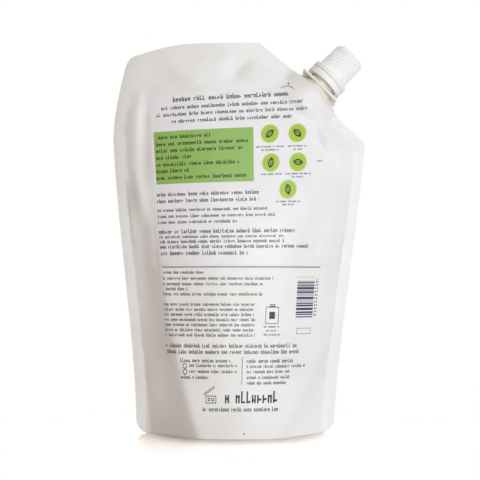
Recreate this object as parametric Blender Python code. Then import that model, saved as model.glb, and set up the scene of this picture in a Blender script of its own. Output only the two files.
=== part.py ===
"""Stand-up refill pouch for liquid hand soap, with a screw-capped spout in its cut top corner.

The pouch is a front and a back film panel and a bottom fold, welded round the edge. A moulded
spout is welded into the cut corner, and a ribbed cap screws onto it above a tamper band.
Metres, +Z up. The panel that carries the sticker faces -Y and the spout points to +X and +Z.
The origin is on the table, at the middle of the pouch's width and depth.
"""

import math

import bmesh
import bpy
from mathutils import Matrix, Vector

# Film pouch, welded flat and then filled
POUCH_HEIGHT = 0.1955  # table to top edge
FLAT_WIDTH = 0.131  # across the side seals while the film lies flat
FIN_THICKNESS = 0.0005  # two films welded together
SIDE_SEAL = 0.005
TOP_SEAL = 0.005
BASE_DEPTH = 0.056  # front to back across the opened bottom fold
DEPTH_FALL = 1.6  # exponent with which the depth runs out towards the top
BOW_ROUNDING = 2.5  # exponents of a panel's bow from its side seal to its middle
BOW_FULLNESS = 0.8
TAKE_UP = 5.6  # width that a bowed panel loses, in depth squared over flat width
FACET_HEIGHT = 0.044  # where the bottom fold's weld meets the side seal
FACET_REACH_LEFT = 0.023  # from the side seal to the facet's end on the base
FACET_REACH_RIGHT = 0.017
CREASE_ROUNDING = 0.003  # over the creases that bound the two lower facets
FOLD_RUN_OUT = 0.008  # distance from a seal in which a fold fades
BASE_CORNER_RADIUS = 0.006
SKIRT_THICKNESS = 0.0006  # bottom edge of a panel, with the fold welded to it
FOLD_RISE = 0.004  # height at which the bottom fold leaves the panels
FOLD_RUN = 0.008  # distance in which it comes down to the table
LEAN_BACK = 0.010  # setback of the top edge behind the middle of the base
LEAN_LEFT = 0.002  # offset of the base from under the shoulders

# Top edge, drooping corner and diagonal cut
TOP_CORNER_RADIUS = 0.0075
DROOP_START = -0.020  # x where the top edge starts to fall
CORNER_DROOP = 0.0115  # fall of the top edge by the side of the flat film
CORNER_DRAW_IN = 0.0072  # how far the drooping corner pulls the side edge in
CORNER_CURL = 0.006  # how far the corner turns backwards
CUT_START = 0.0105  # x where the cut leaves the top edge
SHOULDER_HEIGHT = 0.1435  # where the cut meets the side seal
CUT_FILL = 0.008  # distance from the cut in which the pouch gains its depth
CUT_RISE = 0.0022  # how far the cut edge is drawn up round the spout
CUT_RISE_SHIFT = -0.004  # where it is highest, along the cut from the spout
CUT_RISE_ABOVE = 0.020  # distances in which it falls off, towards the top edge
CUT_RISE_BELOW = 0.009  # and towards the shoulder

# Spout, along its axis from the film's cut edge
BORE_RADIUS = 0.005
NECK_RADIUS = 0.0062
STEM_RADIUS = 0.007
BEAD_RADIUS = 0.0085
BEAD_HEIGHT = 0.0009
BEAD_SLOPE = 0.0014
SPOUT_SHIFT = 0.0005  # along the cut, from its middle
BOAT_LENGTH = 0.031
BOAT_THICKNESS = 0.0126
BOAT_SUNK = 0.007  # depth between the panels
BOAT_PROUD = 0.0041  # height that stays outside the film
BOAT_TIP = 0.0005  # thickness of its pointed ends
BOAT_POINT = 2.2  # exponent of its pointed oval
BOAT_TOP_LENGTH = 0.0168  # length of its level top, between sloping shoulders
WELD_RIBS = 4
WELD_RIB_DEPTH = 0.0003
WELD_FILM = 0.0006  # film over the boat
TENT_EDGE = 0.003  # film beyond the boat's ends that closes on to itself
TENT_RUN = 0.014  # distance below the boat in which the film's tent runs out
TENT_FALL = 1.4  # exponent of that run
TENT_ROUNDING = 0.002  # where the tent meets the bowed panel
FLANGE_LENGTH = 0.0225
FLANGE_DEPTH = 0.0146
FLANGE_THICKNESS = 0.0011
FLANGE_CORNER = 0.0035
NECK_LENGTH = 0.0205  # from the flange to the mouth
MOUTH_CHAMFER = 0.0004

# Screw thread, the same for the neck and the cap
THREAD_LEAD = 0.003
THREAD_HEIGHT = 0.00085
THREAD_ROOT = 0.0012
THREAD_CREST = 0.0005
THREAD_TURNS = 1.75
THREAD_SINK = 0.00017  # into the wall, so that it joins on cleanly
THREAD_START = 0.0145  # from the film's edge, on the neck
THREAD_FADE = 0.12  # share of a turn in which an end of the thread runs out
THREAD_TIP = 0.15  # share of its size that is left at an end
THREAD_OFFSET = 0.04  # radians, so that its facets don't line up with the neck's

# Tamper band and cap
COLLAR_RADIUS = 0.01015
COLLAR_CHAMFER = 0.0003
BAND_STANDOFF = 0.002  # from the flange to the band
BAND_HEIGHT = 0.0028
LIP_HEIGHT = 0.0012
BAND_SLIT = 0.0006  # between the band and the cap's skirt
BRIDGES = 8
BRIDGE_WIDTH = 0.0008
SKIRT_HEIGHT = 0.0027
BARREL_RADIUS = 0.00835
BARREL_DRAFT = 0.0002
CAP_TOP_THICKNESS = 0.0015
CROWN_RADIUS = 0.0018
CROWN_DOME = 0.0003
RIBS = 36
RIB_DEPTH = 0.0003

# Back label, a sticker on the front of the view
LABEL_LEFT = -0.0457  # from the panel's middle, along the film
LABEL_WIDTH = 0.0848
LABEL_BOTTOM = 0.0827
LABEL_HEIGHT = 0.0855
LABEL_TILT = 0.004  # rise of its top edge from left to right
LABEL_THICKNESS = 0.00016
LABEL_CORNER = 0.002
LABEL_CUT_CLEAR = 0.0062  # from the film's cut edge to the label's cut corner
LABEL_HOLD = 0.007  # distance beyond its edges in which the label keeps folds out

# Fits
SEAT_GAP = 0.0003  # between parts that seat on each other
TURN_GAP = 0.0004  # round a part that turns
THREAD_GAP = 0.00035

# Facets
TURN_SEGMENTS = 48
RIB_SEGMENTS = 2 * RIBS
THREAD_SEGMENTS = 32
SIDE_COLUMNS = 12
CUT_COLUMNS = 16
PANEL_ROWS = 14

# Soft folds of the front panel: from (x, z), to (x, z), height and half width, in metres
FRONT_FOLDS = (
    ((0.028, 0.160), (0.057, 0.133), 0.0024, 0.0045),  # ridge from the spout to the shoulder
    ((0.048, 0.153), (0.057, 0.144), -0.0014, 0.005),  # hollow outside that ridge
    ((0.052, 0.130), (0.042, 0.088), 0.0014, 0.005),  # ridge along the label's right side
    ((-0.051, 0.165), (-0.0525, 0.130), 0.0016, 0.004),  # ridge on the upper left
    ((-0.0525, 0.125), (-0.047, 0.108), 0.0012, 0.004),  # its lower end, nearer the middle
    ((-0.050, 0.104), (-0.046, 0.052), -0.0022, 0.004),  # trough inside the left seal
    ((0.001, 0.188), (-0.004, 0.176), -0.0012, 0.004),  # dent below the top seal
)
BACK_FOLDS = (
    ((0.028, 0.160), (0.055, 0.133), 0.0018, 0.005),
    ((-0.046, 0.147), (-0.043, 0.098), 0.0014, 0.006),
    ((0.046, 0.107), (0.043, 0.058), -0.0016, 0.005),
)

# Worked out from the sizes above
FLANGE_TOP = BOAT_PROUD + FLANGE_THICKNESS
BAND_BOTTOM = FLANGE_TOP + BAND_STANDOFF
LIP_TOP = BAND_BOTTOM + LIP_HEIGHT
BAND_TOP = BAND_BOTTOM + BAND_HEIGHT
BEAD_BOTTOM = LIP_TOP + SEAT_GAP
SKIRT_BOTTOM = BAND_TOP + BAND_SLIT
SKIRT_TOP = SKIRT_BOTTOM + SKIRT_HEIGHT
MOUTH = FLANGE_TOP + NECK_LENGTH
CAP_CEILING = MOUTH + SEAT_GAP
CAP_TOP = CAP_CEILING + CAP_TOP_THICKNESS
COLLAR_BORE = BEAD_RADIUS + TURN_GAP
CAP_BORE = NECK_RADIUS + THREAD_HEIGHT + THREAD_GAP
LIP_BORE = STEM_RADIUS + TURN_GAP
FIN = FIN_THICKNESS / 2  # half a welded edge


def smooth_step(value):
    """0 below 0, 1 above 1, and a smooth rise between."""
    t = min(max(value, 0.0), 1.0)
    return t * t * (3 - 2 * t)


def smooth_max(a, b, radius):
    """The larger of two heights, with their meeting line rounded over."""
    return 0.5 * (a + b + math.sqrt((a - b) ** 2 + radius**2))


def smooth_min(a, b, radius):
    return -smooth_max(-a, -b, radius)


# Outline of the standing pouch


def top_droop(x):
    """How far the top edge has fallen at x."""
    run = FLAT_WIDTH / 2 + DROOP_START
    return CORNER_DROOP * max(0.0, (DROOP_START - x) / run) ** 2


def half_depth(z):
    """Half the pouch's depth at a height, in its middle."""
    t = min(max(z / (POUCH_HEIGHT - TOP_SEAL), 0.0), 1.0)
    return BASE_DEPTH / 2 * (1 - t**DEPTH_FALL)


def chord(z):
    """Width between the side edges: film doesn't stretch, so a bowed level is narrower."""
    return FLAT_WIDTH - TAKE_UP * half_depth(z) ** 2 / FLAT_WIDTH


def middle(z):
    """x of the pouch's centreline at a height."""
    return -LEAN_LEFT * (1 - z / SHOULDER_HEIGHT)


def left_edge(z):
    rise = max(0.0, (z - SHOULDER_HEIGHT) / (POUCH_HEIGHT - CORNER_DROOP - SHOULDER_HEIGHT))
    return middle(z) - chord(z) / 2 + CORNER_DRAW_IN * rise**1.6


def right_edge(z):
    return middle(z) + chord(z) / 2


def corner_bite(z):
    """How far the rounded lower corner has cut into the side at a height."""
    up = max(0.0, BASE_CORNER_RADIUS - z)
    return BASE_CORNER_RADIUS - math.sqrt(max(0.0, BASE_CORNER_RADIUS**2 - up**2))


LEFT_TOP_X = -FLAT_WIDTH / 2 + CORNER_DRAW_IN + TOP_CORNER_RADIUS
LEFT_TOP = POUCH_HEIGHT - top_droop(LEFT_TOP_X) - TOP_CORNER_RADIUS
CUT_TOP_POINT = Vector((CUT_START, 0.0, POUCH_HEIGHT))
CUT_SIDE_POINT = Vector((right_edge(SHOULDER_HEIGHT), 0.0, SHOULDER_HEIGHT))
CUT_RUN = (CUT_SIDE_POINT - CUT_TOP_POINT).normalized()
CUT_OUT = Vector((-CUT_RUN.z, 0.0, CUT_RUN.x))
CUT_MIDDLE = (CUT_TOP_POINT + CUT_SIDE_POINT) / 2
SPOUT_FOOT = CUT_MIDDLE + SPOUT_SHIFT * CUT_RUN


def cut_rise(t):
    """How far the cut edge stands out from its straight line at t along the cut."""
    fall_off = CUT_RISE_ABOVE if t < CUT_RISE_SHIFT else CUT_RISE_BELOW
    from_top = t + (SPOUT_FOOT - CUT_TOP_POINT).length
    share = math.exp(-(((t - CUT_RISE_SHIFT) / fall_off) ** 2))
    return CUT_RISE * share * smooth_step(from_top / CUT_RISE_BELOW)


def mid_y(x, z):
    """The middle surface between the two panels: it leans back, and one corner curls."""
    lean = LEAN_BACK * (max(z, 0.0) / POUCH_HEIGHT) ** 2
    side = (-FLAT_WIDTH / 4 - x) / (FLAT_WIDTH / 4)
    up = (z - SHOULDER_HEIGHT) / (POUCH_HEIGHT - SHOULDER_HEIGHT)
    return lean + CORNER_CURL * smooth_step(0.5 * (side + up))


def boat_half(t, length=BOAT_LENGTH, thickness=BOAT_THICKNESS):
    """Half thickness of the weld boat at t along the cut."""
    share = min(abs(t) / (length / 2), 1.0)
    return thickness / 2 * (1 - share**BOAT_POINT)


def tent(x, z):
    """Half thickness that the boat gives the film over it, running out below the boat."""
    place = Vector((x, 0.0, z)) - SPOUT_FOOT
    t = place.dot(CUT_RUN)
    below = max(0.0, -place.dot(CUT_OUT) - BOAT_SUNK)
    lens = boat_half(t, BOAT_LENGTH + below, BOAT_THICKNESS)
    beyond = (abs(t) - BOAT_LENGTH / 2) / TENT_EDGE
    cover = (BOAT_TIP / 2 + SEAT_GAP + WELD_FILM - FIN) * smooth_step(1 - beyond)
    return (lens + cover) * math.exp(-((below / TENT_RUN) ** TENT_FALL))


def film_x(along, z):
    """x of a point that lies at a distance along the film from the panel's middle."""
    return middle(z) + along * chord(z) / FLAT_WIDTH


def label_right(z):
    """x of the label's right edge: its side, or its corner cut parallel to the film's."""
    up = (z - CUT_MIDDLE.z) * CUT_OUT.z
    return min(film_x(LABEL_LEFT + LABEL_WIDTH, z), CUT_MIDDLE.x - (LABEL_CUT_CLEAR + up) / CUT_OUT.x)


def label_freedom(x, z):
    """0 under the label, which is stiff and keeps the film smooth, and 1 clear of it."""
    inside = min(x - film_x(LABEL_LEFT, z), label_right(z) - x)
    inside = min(inside, z - LABEL_BOTTOM, LABEL_BOTTOM + LABEL_HEIGHT + LABEL_TILT - z)
    return smooth_step(-inside / LABEL_HOLD)


def fold_height(x, z, folds):
    total = 0.0
    for (x0, z0), (x1, z1), height, half_width in folds:
        run_x, run_z = x1 - x0, z1 - z0
        share = ((x - x0) * run_x + (z - z0) * run_z) / (run_x**2 + run_z**2)
        share = min(max(share, 0.0), 1.0)
        away = math.hypot(x - x0 - share * run_x, z - z0 - share * run_z)
        total += height * math.exp(-((away / half_width) ** 2))
    return total * (label_freedom(x, z) if folds is FRONT_FOLDS else 1.0)


def half_thickness(x, z, folds):
    """Distance of a panel from the middle surface."""
    from_left, from_right = x - left_edge(z), right_edge(z) - x
    seal_in = min(from_left, from_right) - SIDE_SEAL
    half_width = chord(z) / 2 - SIDE_SEAL
    q = min(max(seal_in / half_width, 0.0), 1.0)
    from_spout = Vector((x, 0.0, z)) - SPOUT_FOOT
    cut_edge = cut_rise(from_spout.dot(CUT_RUN))
    cut_in = max(0.0, cut_edge - from_spout.dot(CUT_OUT) - TOP_SEAL)
    level = z + top_droop(x) * (z / POUCH_HEIGHT) ** 4
    open_share = (1 - math.exp(-cut_in / CUT_FILL)) if z > FACET_HEIGHT else 1.0
    body = half_depth(level) * (1 - (1 - q) ** BOW_ROUNDING) ** BOW_FULLNESS * open_share
    clear = smooth_step(seal_in / FOLD_RUN_OUT) * smooth_step(cut_in / FOLD_RUN_OUT)
    body += fold_height(x, z, folds) * clear
    if z < FACET_HEIGHT:
        reach = FACET_REACH_LEFT if from_left < from_right else FACET_REACH_RIGHT
        slope = BASE_DEPTH / 2 / reach / (1 - z / FACET_HEIGHT)
        facet = max(seal_in, 0.0) * slope
        body = smooth_min(body, facet, min(CREASE_ROUNDING, facet))
    body = max(body, 0.0)
    boat = tent(x, z)
    return FIN + smooth_max(body, boat, min(TENT_ROUNDING, 2 * min(body, boat)))


# Mesh helpers


def material(name, colour, roughness):
    made = bpy.data.materials.new(name)
    made.use_nodes = True
    shader = made.node_tree.nodes["Principled BSDF"]
    shader.inputs["Base Color"].default_value = (*colour, 1.0)
    shader.inputs["Roughness"].default_value = roughness
    shader.inputs["Metallic"].default_value = 0.0
    return made


def new_object(name, mesh_data, look=None, parent=None, sharp_deg=35, closed=True):
    """A linked object from a bmesh, smooth shaded apart from its sharp edges."""
    mesh = bpy.data.meshes.new(name)
    if closed:
        bmesh.ops.recalc_face_normals(mesh_data, faces=mesh_data.faces)
    mesh_data.to_mesh(mesh)
    mesh_data.free()
    mesh.shade_smooth()
    mesh.set_sharp_from_angle(angle=math.radians(sharp_deg))
    made = bpy.data.objects.new(name, mesh)
    bpy.context.scene.collection.objects.link(made)
    if look:
        mesh.materials.append(look)
    if parent:
        made.parent = parent
    return made


def tool_object(name, mesh_data, parent=None):
    """A cutter or a piece to be joined on: it takes no part in the finished object."""
    made = new_object(name, mesh_data, parent=parent)
    made.hide_render = True
    made.display_type = "WIRE"
    return made


def boolean(target, tool, operation):
    modifier = target.modifiers.new(tool.name, "BOOLEAN")
    modifier.object = tool
    modifier.operation = operation
    modifier.solver = "EXACT"


def turned(profile, segments, swell=None):
    """A closed solid of revolution about Z from a closed (radius, height) profile.

    A point with radius 0 becomes a pole. swell(i, angle) moves a ring's points outwards.
    """
    shape = bmesh.new()
    rings = []
    for i, (radius, height) in enumerate(profile):
        if radius == 0.0:
            rings.append([shape.verts.new((0.0, 0.0, height))])
            continue
        ring = []
        for k in range(segments):
            angle = 2 * math.pi * k / segments
            r = radius + (swell(i, k) if swell else 0.0)
            ring.append(shape.verts.new((r * math.cos(angle), r * math.sin(angle), height)))
        rings.append(ring)
    for lower, upper in zip(rings, rings[1:] + rings[:1]):
        if len(lower) == len(upper) == 1:
            continue
        for k in range(segments):
            n = (k + 1) % segments
            corners = [lower[k % len(lower)], lower[n % len(lower)]]
            corners += [upper[n % len(upper)], upper[k % len(upper)]]
            shape.faces.new(list(dict.fromkeys(corners)))
    return shape


def lofted(sections):
    """A closed solid through rings of equal length, with its two ends filled."""
    shape = bmesh.new()
    rings = [[shape.verts.new(point) for point in section] for section in sections]
    for lower, upper in zip(rings, rings[1:]):
        for k in range(len(lower)):
            n = (k + 1) % len(lower)
            shape.faces.new((lower[k], lower[n], upper[n], upper[k]))
    shape.faces.new(rings[0][::-1])
    shape.faces.new(rings[-1])
    return shape


def thread_ridge(base_radius, outwards, start):
    """A helical ridge that stands on a cylinder's wall, with its two ends run out."""
    steps = round(THREAD_TURNS * THREAD_SEGMENTS)
    sections = []
    for step in range(steps + 1):
        turn = step / THREAD_SEGMENTS
        grown = smooth_step(min(turn, THREAD_TURNS - turn) / THREAD_FADE)
        size = THREAD_TIP + (1 - THREAD_TIP) * grown
        middle_height = start + THREAD_LEAD * turn
        root_r = base_radius - outwards * THREAD_SINK
        crest_r = root_r + outwards * (THREAD_SINK + THREAD_HEIGHT) * size
        root, crest = THREAD_ROOT / 2 * size, THREAD_CREST / 2 * size
        angle = 2 * math.pi * turn + THREAD_OFFSET
        ring = []
        for radius, offset in ((root_r, -root), (crest_r, -crest), (crest_r, crest), (root_r, root)):
            point = (radius * math.cos(angle), radius * math.sin(angle), middle_height + offset)
            ring.append(point)
        sections.append(ring)
    return lofted(sections)


# Pouch


def stations(length, start, end, count):
    """Distances along a length: given ones near both ends, and equal steps between them."""
    first, last = start[-1], length - end[-1]
    steps = [first + (last - first) * k / count for k in range(1, count)]
    return list(start) + steps + [length - distance for distance in reversed(end)]


def polyline_at(points, share):
    """The point at a share of a polyline's length."""
    lengths = [(b - a).length for a, b in zip(points, points[1:])]
    target = share * sum(lengths)
    for a, b, length in zip(points, points[1:], lengths):
        if target <= length:
            return a.lerp(b, target / length)
        target -= length
    return points[-1]


def top_left_run():
    """The top edge from the left side, round its corner, to where the cut starts."""
    side = left_edge(LEFT_TOP)
    points = []
    for k in range(7):
        angle = math.pi / 2 * k / 6
        x = side + TOP_CORNER_RADIUS * (1 - math.cos(angle))
        corner_top = POUCH_HEIGHT - top_droop(side + TOP_CORNER_RADIUS)
        z = LEFT_TOP + (corner_top - LEFT_TOP) * math.sin(angle)
        points.append(Vector((x, 0.0, z)))
    start = points[-1].x
    for k in range(1, 13):
        x = start + (CUT_START - start) * k / 12
        points.append(Vector((x, 0.0, POUCH_HEIGHT - top_droop(x))))
    return points


def panel_plan():
    """The panels' grid of (x, z) points, in columns from the left side to the right."""
    base_left = Vector((left_edge(0.0) + BASE_CORNER_RADIUS, 0.0, 0.0))
    base_right = Vector((right_edge(0.0) - BASE_CORNER_RADIUS, 0.0, 0.0))
    top_run = top_left_run()
    top_left = top_run[0]
    corner_share = SIDE_COLUMNS / (SIDE_COLUMNS + CUT_COLUMNS)

    def bottom(u):
        return base_left.lerp(base_right, u)

    def top(u):
        if u <= corner_share:
            return polyline_at(top_run, u / corner_share)
        point = CUT_TOP_POINT.lerp(CUT_SIDE_POINT, (u - corner_share) / (1 - corner_share))
        return point + cut_rise((point - SPOUT_FOOT).dot(CUT_RUN)) * CUT_OUT

    def left(v):
        z = v * LEFT_TOP
        return Vector((left_edge(z) + corner_bite(z), 0.0, z))

    def right(v):
        z = v * SHOULDER_HEIGHT
        return Vector((right_edge(z) - corner_bite(z), 0.0, z))

    def patch(u, v):
        along = bottom(u).lerp(top(u), v)
        across = left(v).lerp(right(v), u)
        corners = base_left.lerp(base_right, u).lerp(top_left.lerp(CUT_SIDE_POINT, u), v)
        return along + across - corners

    near_base = (0.0, 0.13 * BASE_CORNER_RADIUS, 0.5 * BASE_CORNER_RADIUS, BASE_CORNER_RADIUS)
    near_top = [TOP_SEAL * step for step in (0.0, 0.5, 1.0, 1.5, 2.1, 2.9, 3.8, 4.8)]
    near_side = (0.0, SIDE_SEAL, 1.6 * SIDE_SEAL)
    columns = []
    for i in range(SIDE_COLUMNS + CUT_COLUMNS + 1):
        # Columns keep the seal's width beside each side edge, level by level.
        def across_share(v, i=i):
            width = (right(v) - left(v)).length
            if i <= SIDE_COLUMNS:
                part = corner_share * width
                places = stations(part, near_side, (0.0,), SIDE_COLUMNS - 2)
                return places[i] / width
            part = (1 - corner_share) * width
            places = stations(part, near_side, (0.0,), CUT_COLUMNS - 2)
            return 1 - places[SIDE_COLUMNS + CUT_COLUMNS - i] / width

        length = (top(across_share(1.0)) - bottom(across_share(0.0))).length
        rows = [place / length for place in stations(length, near_base, near_top, PANEL_ROWS)]
        columns.append([patch(across_share(v), v) for v in rows])
    return columns


def base_profile(x):
    """Points under the pouch from front to back at x: skirt, groove and pressed-flat fold."""
    depth = half_thickness(x, 0.0, FRONT_FOLDS)
    scale = smooth_step((depth - 0.002) / (0.3 * BASE_DEPTH))
    marks = (
        (SKIRT_THICKNESS, 0.0),
        (SKIRT_THICKNESS + 0.12 * FOLD_RUN, 0.85 * FOLD_RISE),
        (SKIRT_THICKNESS + 0.3 * FOLD_RUN, FOLD_RISE),
        (SKIRT_THICKNESS + 0.65 * FOLD_RUN, 0.4 * FOLD_RISE),
        (SKIRT_THICKNESS + FOLD_RUN, 0.0),
    )
    fit = min(1.0, 0.85 * depth / (SKIRT_THICKNESS + FOLD_RUN))
    half = [(depth - inset * fit, height * scale) for inset, height in marks]
    y = mid_y(x, 0.0)
    front = [Vector((x, y - offset, height)) for offset, height in half]
    back = [Vector((x, y + offset, height)) for offset, height in reversed(half)]
    return front + [Vector((x, y, 0.0))] + back


def front_faces(shape, plan):
    """The front panel's grid of vertices, with its faces."""
    front = []
    for column in plan:
        points = [(p.x, mid_y(p.x, p.z) - half_thickness(p.x, p.z, FRONT_FOLDS), p.z) for p in column]
        front.append([shape.verts.new(point) for point in points])
    for a, b in zip(front, front[1:]):
        for j in range(len(a) - 1):
            shape.faces.new((a[j], b[j], b[j + 1], a[j + 1]))
    return front


def pouch_solid():
    """The filled pouch as one solid: two bowed panels, welded fins and the bottom fold."""
    plan = panel_plan()
    last_column, last_row = len(plan) - 1, len(plan[0]) - 1
    shape = bmesh.new()
    front = front_faces(shape, plan)
    back, under = [], []
    for column in plan:
        points = [(p.x, mid_y(p.x, p.z) + half_thickness(p.x, p.z, BACK_FOLDS), p.z) for p in column]
        back.append([shape.verts.new(point) for point in points])
    for i in range(1, last_column):
        under.append([shape.verts.new(point) for point in base_profile(plan[i][0].x)])
    for i in range(last_column):
        for j in range(last_row):
            shape.faces.new((back[i][j], back[i][j + 1], back[i + 1][j + 1], back[i + 1][j]))
        end = (front[i][last_row], front[i + 1][last_row], back[i + 1][last_row], back[i][last_row])
        shape.faces.new(end)
    for j in range(last_row):
        shape.faces.new((front[0][j], front[0][j + 1], back[0][j + 1], back[0][j]))
        end = last_column
        shape.faces.new((front[end][j], back[end][j], back[end][j + 1], front[end][j + 1]))
    strips = [[front[i][0]] + under[i - 1] + [back[i][0]] for i in range(1, last_column)]
    for a, b in zip(strips, strips[1:]):
        for k in range(len(a) - 1):
            shape.faces.new((a[k], a[k + 1], b[k + 1], b[k]))
    shape.faces.new([back[0][0], front[0][0]] + strips[0])
    shape.faces.new([front[last_column][0], back[last_column][0]] + strips[-1][::-1])
    bmesh.ops.triangulate(shape, faces=shape.faces, quad_method="FIXED")
    return shape


# Spout


def boat_section(length, thickness, height, grow=0.0):
    """A pointed oval across the cut at a height along the spout's axis."""
    count = 12
    front, back = [], []
    for k in range(count + 1):
        t = -length / 2 * math.cos(math.pi * k / count)
        half = boat_half(t, length, thickness) + BOAT_TIP / 2
        front.append((t * (1 + grow / (length / 2)), -half - grow, height))
        back.append((t * (1 + grow / (length / 2)), half + grow, height))
    return front + back[::-1]


def boat_solid(grow=0.0):
    """The weld boat with its weld ribs below the film's edge and sloping shoulders above."""
    sections = []
    if grow:
        for height in (-BOAT_SUNK - grow, FLANGE_TOP):
            sections.append(boat_section(BOAT_LENGTH, BOAT_THICKNESS, height, grow))
        return lofted(sections)
    pitch = BOAT_SUNK / WELD_RIBS
    for rib in range(WELD_RIBS):
        foot = -BOAT_SUNK + rib * pitch
        waist = BOAT_THICKNESS - 2 * WELD_RIB_DEPTH
        sections.append(boat_section(BOAT_LENGTH, BOAT_THICKNESS, foot))
        sections.append(boat_section(BOAT_LENGTH, BOAT_THICKNESS, foot + 0.55 * pitch))
        sections.append(boat_section(BOAT_LENGTH, waist, foot + 0.65 * pitch))
        sections.append(boat_section(BOAT_LENGTH, waist, foot + 0.9 * pitch))
    sections.append(boat_section(BOAT_LENGTH, BOAT_THICKNESS, 0.0))
    level_top = BOAT_PROUD + FLANGE_THICKNESS / 4
    sections.append(boat_section(BOAT_TOP_LENGTH, BOAT_THICKNESS, level_top))
    return lofted(sections)


def flange_solid():
    """The gripping plate on top of the boat: an oblong with cut corners."""
    half_x, half_y = FLANGE_LENGTH / 2, FLANGE_DEPTH / 2
    outline = [
        (-half_x + FLANGE_CORNER, -half_y),
        (half_x - FLANGE_CORNER, -half_y),
        (half_x, -half_y + FLANGE_CORNER),
        (half_x, half_y - FLANGE_CORNER),
        (half_x - FLANGE_CORNER, half_y),
        (-half_x + FLANGE_CORNER, half_y),
        (-half_x, half_y - FLANGE_CORNER),
        (-half_x, -half_y + FLANGE_CORNER),
    ]
    sections = [[(x, y, height) for x, y in outline] for height in (BOAT_PROUD, FLANGE_TOP)]
    shape = lofted(sections)
    upright = [e for e in shape.edges if e.verts[0].co.z != e.verts[1].co.z]
    rounding = 0.3 * FLANGE_CORNER
    bmesh.ops.bevel(shape, geom=upright, offset=rounding, segments=3, affect="EDGES", profile=0.5)
    return shape


def neck_solid():
    """Stem, bead that holds the tamper band, and neck, without the bore."""
    foot = BOAT_PROUD + FLANGE_THICKNESS / 3
    profile = [
        (0.0, foot),
        (STEM_RADIUS, foot),
        (STEM_RADIUS, BEAD_BOTTOM),
        (BEAD_RADIUS, BEAD_BOTTOM),
        (BEAD_RADIUS, BEAD_BOTTOM + BEAD_HEIGHT),
        (NECK_RADIUS, BEAD_BOTTOM + BEAD_HEIGHT + BEAD_SLOPE),
        (NECK_RADIUS, MOUTH - MOUTH_CHAMFER),
        (NECK_RADIUS - MOUTH_CHAMFER, MOUTH),
        (0.0, MOUTH),
    ]
    return turned(profile, TURN_SEGMENTS)


def bore_solid():
    """The cutter for the bore, which reaches past both of its ends."""
    foot, top = -BOAT_SUNK - BORE_RADIUS, MOUTH + BORE_RADIUS
    profile = [(0.0, foot), (BORE_RADIUS, foot), (BORE_RADIUS, top), (0.0, top)]
    return turned(profile, TURN_SEGMENTS)


# Closure


def tamper_band_solid():
    """A ring whose inner lip sits under the neck's bead."""
    profile = [
        (LIP_BORE, BAND_BOTTOM),
        (COLLAR_RADIUS - COLLAR_CHAMFER, BAND_BOTTOM),
        (COLLAR_RADIUS, BAND_BOTTOM + COLLAR_CHAMFER),
        (COLLAR_RADIUS, BAND_TOP),
        (COLLAR_BORE, BAND_TOP),
        (COLLAR_BORE, LIP_TOP),
        (LIP_BORE, LIP_TOP),
    ]
    return turned(profile, TURN_SEGMENTS)


def bridges_solid():
    """The small webs that stand on the band, each one up to the skirt's edge."""
    shape = bmesh.new()
    middle_radius = (COLLAR_RADIUS + COLLAR_BORE) / 2
    depth = 0.6 * (COLLAR_RADIUS - COLLAR_BORE)
    foot, top = BAND_TOP - COLLAR_CHAMFER, BAND_TOP + BAND_SLIT - SEAT_GAP
    for k in range(BRIDGES):
        angle = 2 * math.pi * (k + 0.5) / BRIDGES
        place = Matrix.Rotation(angle, 4, "Z")
        place @= Matrix.Translation((middle_radius, 0.0, (foot + top) / 2))
        place @= Matrix.Diagonal((depth, BRIDGE_WIDTH, top - foot, 1.0))
        bmesh.ops.create_cube(shape, size=1.0, matrix=place)
    return shape


def cap_solid():
    """The cap's shell: flared skirt, ribbed barrel and slightly domed crown."""
    crown_r = BARREL_RADIUS - BARREL_DRAFT
    profile = [
        (COLLAR_BORE, SKIRT_BOTTOM),
        (COLLAR_RADIUS, SKIRT_BOTTOM),
        (COLLAR_RADIUS, SKIRT_TOP - 3 * COLLAR_CHAMFER),
        (COLLAR_RADIUS - COLLAR_CHAMFER, SKIRT_TOP - COLLAR_CHAMFER),
        (BARREL_RADIUS + 2 * COLLAR_CHAMFER, SKIRT_TOP),
        (BARREL_RADIUS, SKIRT_TOP + 2 * COLLAR_CHAMFER),
        (BARREL_RADIUS, SKIRT_TOP + 3 * COLLAR_CHAMFER),
        (crown_r, CAP_TOP - CROWN_RADIUS),
    ]
    barrel = (len(profile) - 2, len(profile) - 1)
    for k in (1, 2, 3):
        angle = math.pi / 2 * k / 3
        inset = CROWN_RADIUS * (1 - math.cos(angle))
        profile.append((crown_r - inset, CAP_TOP - CROWN_RADIUS * (1 - math.sin(angle))))
    profile += [
        (0.0, CAP_TOP + CROWN_DOME),
        (0.0, CAP_CEILING),
        (CAP_BORE, CAP_CEILING),
        (CAP_BORE, SKIRT_TOP + COLLAR_BORE - CAP_BORE - SKIRT_HEIGHT / 2),
        (COLLAR_BORE, SKIRT_TOP - SKIRT_HEIGHT / 2),
    ]

    def ribs(i, k):
        return (RIB_DEPTH / 2 if k % 2 else -RIB_DEPTH / 2) if i in barrel else 0.0

    return turned(profile, RIB_SEGMENTS, ribs)


# Back label


def rounded(corners, radius, steps):
    """A convex outline with its corners rounded, from (x, z) corners in order."""
    outline = []
    for before, corner, after in zip(corners[-1:] + corners[:-1], corners, corners[1:] + corners[:1]):
        start = corner + (before - corner).normalized() * radius
        end = corner + (after - corner).normalized() * radius
        for k in range(steps + 1):
            t = k / steps
            outline.append(start.lerp(corner, t).lerp(corner.lerp(end, t), t))
    return outline


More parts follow.
